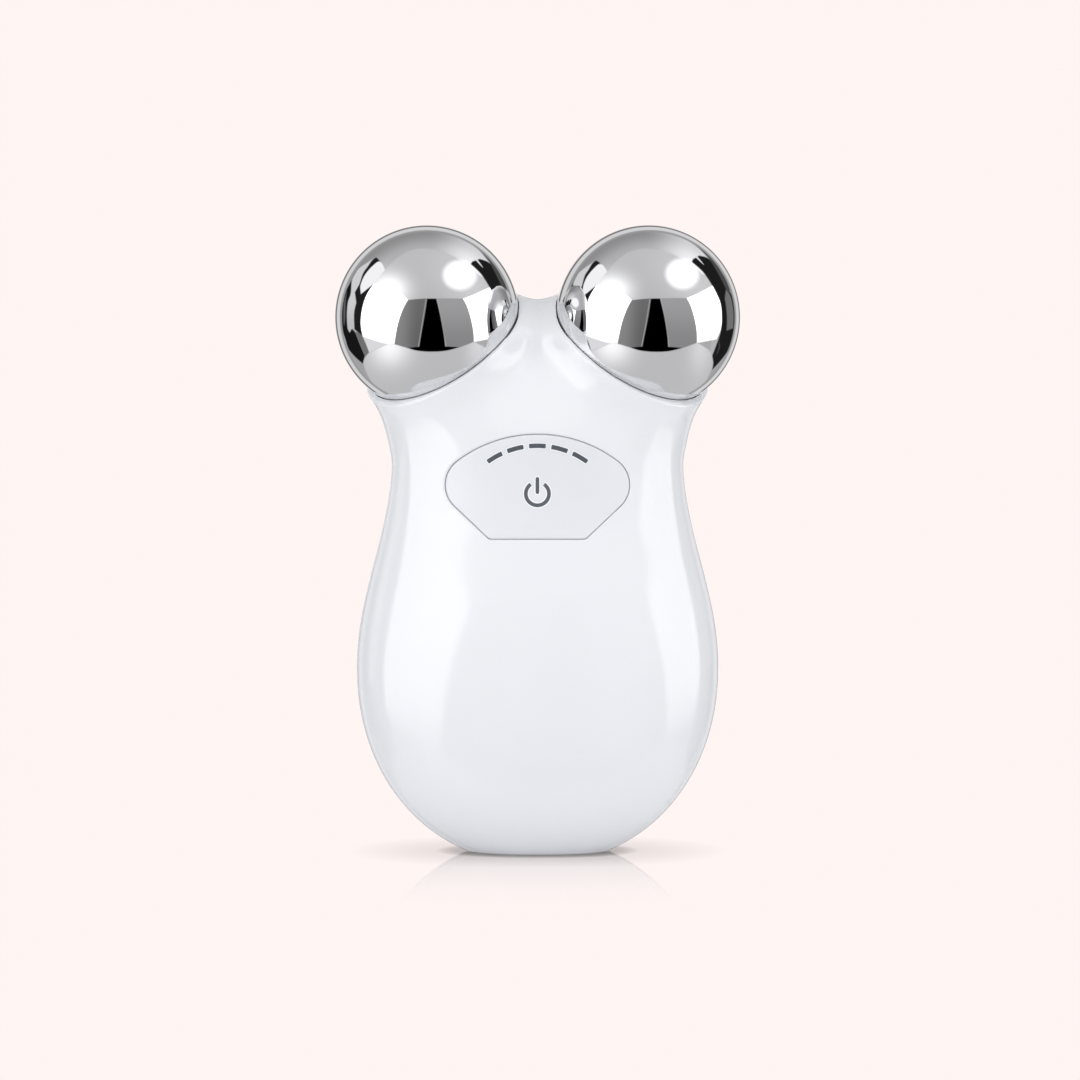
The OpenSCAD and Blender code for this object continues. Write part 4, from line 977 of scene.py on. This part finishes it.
SECOND_FLAG = (
    (436.2, 298.7), [(450, 298.6), (463, 298.9)],
    [(467.2, 307.3), (471.1, 320.3), (473.2, 331.8), (473.6, 342.5)], [(460.3, 347.3), (445, 348)],
    [(443.9, 335.6), (440.4, 316.5), (436.2, 298.7)],
)
LEFT_FLAG_EDGE = ((426.4, 298.9), [(418.6, 347)], [(417.7, 347)], [(425.5, 298.9)])
SECOND_FLAG_EDGE = ((436.6, 298.9), [(445.4, 346.8)], [(446.3, 346.8)], [(437.5, 298.9)])
DARK_GAP = (
    (426.8, 298.9), [(436.1, 298.9)], [(440.2, 316.5), (443.7, 335.6), (445, 346.6)], [(459.8, 347.3)],
    [(445.8, 351), (430.5, 352), (416.7, 351), (406.4, 348.2)], [(418.9, 346.9)],
    [(420.7, 335.6), (424.1, 316.5), (426.8, 298.9)],
)
LEFT_WALL = (
    (362.2, 336.6), [(375.4, 341.6), (388.4, 344.8)], [(388.4, 344.2)], [(368.8, 353)],
    [(366, 345.5), (362.2, 336.6)],
)
SECOND_WALL = ((474.5, 342.2), [(489, 339)], [(487.3, 349)], [(480, 345), (474.5, 342.2)])
TABLE_BACK = [
    (394.2, 344.8), (406.8, 348.4), (416.7, 351.2), (430.5, 352.3), (445.8, 351.2), (459.6, 347.5),
    (474, 342),
]
TABLE_END = [(487.1, 349), (491.5, 357), (492, 366)]
TABLE = (
    (388.4, 344), TABLE_BACK, TABLE_END, [(488, 378), (478, 390), (468, 398), (455, 430)], [(400, 430)],
    [(391, 398.2), (382.1, 391.6), (372.5, 384.2), (364.3, 369.4), (363.6, 360.5), (368.8, 353)],
)
BESIDE_TABLE = (
    (300, 372), [(348.1, 349.4), (354.7, 357.8), (362.6, 364.8)], [(364, 358)], [(368.8, 353), (388.4, 344)],
    TABLE_BACK, TABLE_END, [(503, 352), (560, 345)], [(560, 460)], [(300, 460)],
)
WINDOW_STRIP = (
    (373.6, 259.3),
    [(368.4, 262.5), (359.3, 268.8), (355.2, 274.5), (351.8, 282), (350.6, 294), (347.8, 302.6),
     (346.9, 312.4), (346.9, 321), (347.5, 329.1), (349.5, 332.5)],
    [(352.4, 328.5)], [(354.2, 329)], [(353.5, 318.1), (354.1, 311.3), (355.9, 303.2)], [(354.5, 292.9)],
    [(359.5, 283.7), (362.7, 273.9), (367.9, 267.1), (373.6, 259.3)],
)
WINDOW_FRAME = (
    (375.9, 257.9), [(379.6, 261.2)], [(376.8, 263), (370.7, 268.4), (365, 275.3), (361.6, 282.2)],
    [(360.1, 287.1)], [(360.6, 294.8)], [(366.5, 290), (373.4, 284.2)],
    [(366.1, 296.3), (362.1, 309), (360.6, 321), (361, 329), (362.4, 336.9)], [(354.1, 329.8)],
    [(353.7, 318.1), (354.1, 311.3), (356, 303.2)], [(354.6, 292.9)], [(359.1, 285)],
    [(363, 273.9), (367.6, 267.1), (371.6, 261.3), (375.9, 257.9)],
)
WINDOW_PANE = (
    (376.8, 262.9), [(370.7, 268.4), (365, 275.3), (361.6, 282.2), (360.2, 288), (360.9, 294.2)],
    [(366.5, 289.6), (373, 283.9), (384.8, 270.8)], [(382.8, 265.9), (380.3, 262.9), (376.8, 262.9)],
)
DOOR = (
    (351.4, 281),
    [(345.5, 291.7), (342.1, 306.7), (341.4, 318.1), (342, 330), (345, 340), (348.1, 349.4), (354.7, 357.5),
     (362.5, 364.4)],
    [(364, 358.5), (364.6, 356.3)], [(359.6, 344.5), (355.2, 333)],
    [(351.6, 329.6), (349.4, 332.8), (347.3, 329.1)],
    [(346.7, 321), (346.7, 312.4), (347.7, 302.6), (350.5, 294), (351.4, 281)],
)
DOOR_SLIT = (
    (346.6, 291), [(343.7, 304), (343.2, 318), (343.8, 326), (344.8, 318), (345.2, 304), (346.6, 291)],
)
DOOR_STRIP = (
    (355.2, 332.4), [(359, 333.6), (362.3, 337)], [(366, 345.5), (368.8, 353)], [(364.6, 356.8)],
    [(359.6, 344.5), (355.2, 332.4)],
)
THIN_ARC = (
    (466, 240.3),
    [(472.9, 245.3), (479.9, 251.4), (485.7, 258.2), (490.7, 264.8), (495.7, 274.3), (500.6, 284.3),
     (505, 294)],
    [(508.5, 293.6)],
    [(505.4, 284.7), (501.2, 275.6), (497, 268), (492.6, 261.3), (485.9, 254.2), (480, 249.2), (473, 244.4),
     (466, 240.3)],
)
RIGHT_ARCH = (
    (688.2, 263.6),
    [(698.3, 273.2), (705.9, 284.6), (711, 294.2), (714.9, 303.8), (716.1, 316.5), (715.5, 329.3),
     (711.3, 343.3), (707.8, 354)],
    [(710.6, 358), (711.3, 365)], [(721.8, 352.4), (730.2, 339.1), (733.6, 322.2)],
    [(733.4, 308), (731, 298), (727.6, 288), (723, 279)], [(721, 283)], [(717.4, 272.5)],
    [(712.3, 266.1), (705.9, 261), (697.7, 258.3)], [(690, 261)],
)
RIGHT_STRIP = (
    (722.2, 291), [(720.2, 298.7), (720.9, 303.8), (722.1, 316.5), (722.1, 328.6)], [(729.4, 326)],
    [(729.6, 315), (728.8, 306.4), (726.5, 297), (722.2, 291)],
)
RIGHT_SLIVER = (
    (718.4, 274.4), [(724, 281.5), (728.2, 291), (729.2, 297)],
    [(724.6, 291.4), (720.9, 283), (718.4, 274.4)],
)
RIGHT_GLINT = ((693.4, 259.6), [(700.8, 266.9), (695.2, 258.6)])
RIGHT_SLIT = ((713.6, 336), [(716, 344), (712.5, 352), (714.6, 344), (713.6, 336)])
# glows as their place in pixels, their reach in shares of the radius and their level
GLOWS = ((462, 276, 0.36, 0.30, 0.14), (500, 262, 0.22, 0.3, 0.07), (388, 291, 0.20, 0.17, 1.1),
         (474, 292, 0.22, 0.12, 0.10))
ROUND_LAMP, ROUND_LAMP_SIZE, ROUND_LAMP_LEVEL = (459.6, 275.4), (0.158, 0.138), 1.5
LEFT_SPILL, SECOND_SPILL = (389, 346, 0.21, 0.22, 0.62), (478, 347, 0.13, 0.26, 0.22)
# what stands behind the object, as bands at the rim: from and to in shares of the radius, and their grey
RIM_BANDS = ((0.915, 0.93, 150), (0.936, 0.95, 206), (0.972, 0.982, 112))
CHROME = 0.80


def spot(x, y):
    """Place on the left sphere's disc, in shares of its radius to the right and up."""
    cx, cy, r = LEFT_PX
    return np.array([(x - cx) / r, (cy - y) / r])


def from_right(x, y):
    """The place where the left sphere would show what the right one shows at a pixel."""
    cx, cy, r = RIGHT_PX
    a, b = (x - cx) / r, (cy - y) / r
    return np.array([a + EYES_APART * math.sqrt(max(0, 1 - a * a - b * b)), b])


def tone(value):
    """Level of a lit surface that the chrome shows as a grey of 0 to 255."""
    c = np.asarray(value, float) / 255
    return np.where(c <= 0.04045, c / 12.92, ((c + 0.055) / 1.055) ** 2.4) / CHROME


def smooth_run(points, steps=7):
    """A curve through the points of one run, from its first to its last."""
    p = np.array([points[0], *points, points[-1]])
    out = []
    for i in range(1, len(p) - 2):
        a, b, c, d = p[i - 1 : i + 3]
        for t in np.arange(steps) / steps:
            turn = (2 * a - 5 * b + 4 * c - d) * t * t + (3 * b - a - 3 * c + d) * t**3
            out.append(0.5 * (2 * b + (c - a) * t + turn))
    return out + [p[-2]]


def outline(drawn, place):
    """The points of a drawn outline on the left sphere's disc."""
    here, shape = drawn[0], []
    for run in drawn[1:]:
        shape += smooth_run([place(*p) for p in (here, *run)])
        here = run[-1]
    return np.array(shape)


def cover(at, shape, soft):
    """How far, from 0 to 1, places lie inside a closed outline with an edge of the given softness."""
    low, high = shape.min(0) - soft, shape.max(0) + soft
    pick = np.nonzero(((at > low) & (at < high)).all(1))[0]
    p = at[pick]
    nearest, inside = np.full(len(p), 9.0), np.zeros(len(p), bool)
    for u, v in zip(shape, np.roll(shape, -1, 0)):
        e = v - u
        t = np.clip((p - u) @ e / max(1e-12, e @ e), 0, 1)
        nearest = np.minimum(nearest, np.linalg.norm(p - u - t[:, None] * e, axis=1))
        rise = e[1] if abs(e[1]) > 1e-9 else 1e-9
        inside ^= ((u[1] > p[:, 1]) != (v[1] > p[:, 1])) & (p[:, 0] < e[0] * (p[:, 1] - u[1]) / rise + u[0])
    full = np.zeros(len(at))
    full[pick] = np.clip(0.5 + np.where(inside, nearest, -nearest) / soft, 0, 1)
    return full


def glow(at, x, y, rx, ry, level):
    d = (at - spot(x, y)) / np.array([rx, ry])
    return level * np.exp(-(d * d).sum(1))


def step(value, low, high):
    t = np.clip((value - low) / (high - low), 0, 1)
    return t * t * (3 - 2 * t)


def studio_levels(at):
    """Level of the studio at places on the left sphere's disc."""
    a, b = at.T
    rho = np.linalg.norm(at, axis=1)
    level = tone(180 + 8 * step(b, 0.2, 0.7))

    def lay(drawn, value, soft=0.008, place=spot):
        nonlocal level
        level += cover(at, outline(drawn, place), soft) * (value - level)

    lay(CEILING, tone(174 - 36 * step(rho, 0.74, 0.93) + 62 * step(a, 0.0, 0.52)), 0.02)
    for light in GLOWS:
        level += glow(at, *light)
    d = np.linalg.norm((at - spot(*ROUND_LAMP)) / np.array(ROUND_LAMP_SIZE), axis=1)
    level += step(-d, -1.40, -0.82) * (ROUND_LAMP_LEVEL - level)
    lay(LEFT_SOFTBOX, 3.1 - 1.7 * step(-b, 0.05, 0.30))
    lay(SECOND_SOFTBOX, 3.0 - 1.7 * step(-b, 0.05, 0.28))
    lay(LEFT_FLAG, tone(140 - 34 * step(a, -0.32, -0.08) - 8 * step(-b, -0.2, 0.3)))
    lay(SECOND_FLAG, tone(156 - 22 * step(-b, -0.2, 0.3)))
    lay(LEFT_FLAG_EDGE, tone(158))
    lay(SECOND_FLAG_EDGE, tone(172))
    lay(DARK_GAP, 0.0)
    lay(LEFT_WALL, tone(218))
    lay(SECOND_WALL, tone(170))
    lay(BESIDE_TABLE, tone(152 + 10 * step(rho, 0.8, 0.93)))
    lay(WINDOW_STRIP, tone(206 - 16 * step(-b, -0.2, 0.1)))
    lay(WINDOW_FRAME, tone(30))
    lay(WINDOW_PANE, tone(242))
    lay(DOOR, tone(22))
    lay(DOOR_SLIT, tone(96), 0.011)
    lay(DOOR_STRIP, tone(112))
    lay(RIGHT_ARCH, tone(28), 0.010, from_right)
    lay(RIGHT_STRIP, tone(112), 0.011, from_right)
    lay(RIGHT_SLIVER, tone(128), 0.011, from_right)
    lay(RIGHT_GLINT, tone(225), 0.006, from_right)
    lay(RIGHT_SLIT, tone(70), place=from_right)
    lay(THIN_ARC, tone(74), 0.012)
    lay(TABLE, tone(186) + glow(at, *LEFT_SPILL) + glow(at, *SECOND_SPILL), 0.012)
    for low, high, grey in RIM_BANDS:
        level += step(rho, low, high) * (tone(grey) - level)
    return level


STUDIO_R, STUDIO_TURNS = 3000, 900
STUDIO_SHARES = np.concatenate([np.linspace(0.004, 0.9, 225), np.linspace(0.9, 0.9995, 64)[1:]])


def make_studio():
    """The shell, each of whose points lies where the left sphere mirrors it at a place on its disc."""
    shares, turns = STUDIO_SHARES, STUDIO_TURNS
    phi = np.linspace(0, 2 * np.pi, turns, endpoint=False)
    at = np.stack([shares[:, None] * np.cos(phi), shares[:, None] * np.sin(phi)], -1).reshape(-1, 2)
    centre = to_side(BALL, -1)
    to = centre - np.array(EYE) / MM
    far = np.linalg.norm(to)
    view = to / far
    right = unit(np.cross(view, [0, 0, 1]))
    up = np.cross(right, view)
    limb = math.tan(math.asin(BALL_R / far))
    way = unit(view + limb * (at[:, :1] * right + at[:, 1:] * up))
    along = way @ to
    meet = along - np.sqrt(np.maximum(0, along**2 - far**2 + BALL_R**2))
    normal = (meet[:, None] * way - to) / BALL_R
    mirrored = way - 2 * (way * normal).sum(1, keepdims=True) * normal
    points = list(centre + STUDIO_R * mirrored) + [centre - STUDIO_R * view, centre + STUDIO_R * view]
    count = len(shares) * turns
    faces = grid_faces(len(shares), turns, wrap=True)
    faces += [(count, (i + 1) % turns, i) for i in range(turns)]
    faces += [(count + 1, count - turns + i, count - turns + (i + 1) % turns) for i in range(turns)]
    studio = add_object("studio", mesh_from("studio", points, faces))
    level = np.append(studio_levels(at), [0.0, 1.0])
    pale = np.append(step(np.linalg.norm(at, axis=1), 0.991, 0.994), [0.0, 1.0])[:, None]
    colour = level[:, None] * np.array([1.0, 1.0, 1.005]) * (1 - pale) + np.array(PALE) * pale
    layer = studio.data.color_attributes.new("level", "FLOAT_COLOR", "POINT")
    rgba = np.column_stack([colour, np.ones(len(colour))])
    layer.data.foreach_set("color", rgba.astype(np.float32).ravel())
    material, tree = blank_material("studio")
    painted = put(tree, "VertexColor", out="Color", layer_name="level")
    put(tree, "OutputMaterial", {"Surface": put(tree, "Emission", {"Color": painted})})
    studio.data.materials.append(material)
    studio.visible_camera = False
    studio.visible_diffuse = False
    studio.visible_shadow = False
    studio.visible_volume_scatter = False


# lamps as their place and size in metres and their watts
LAMP_TARGET = Vector((0, 0, 0.05))
LAMPS = {
    "key_left": ((-0.55, -0.55, 0.35), (0.5, 0.6), 1.8),
    "key_right": ((0.55, -0.5, 0.30), (0.4, 0.6), 1.35),
    "top": ((0, -0.1, 0.85), (0.7, 0.7), 1.2),
    "back": ((0.25, 0.7, 0.35), (0.6, 0.5), 1.2),
}


def make_lamp(name, place, size, watts):
    data = bpy.data.lights.new(name, "AREA")
    data.shape = "RECTANGLE"
    data.size, data.size_y = size
    data.energy = watts
    lamp = add_object(name, data)
    lamp.location = place
    lamp.rotation_euler = (LAMP_TARGET - Vector(place)).to_track_quat("-Z", "Y").to_euler()
    lamp.visible_glossy = False


make_world()
make_floor()
make_studio()
for name, lamp in LAMPS.items():
    make_lamp(name, *lamp)
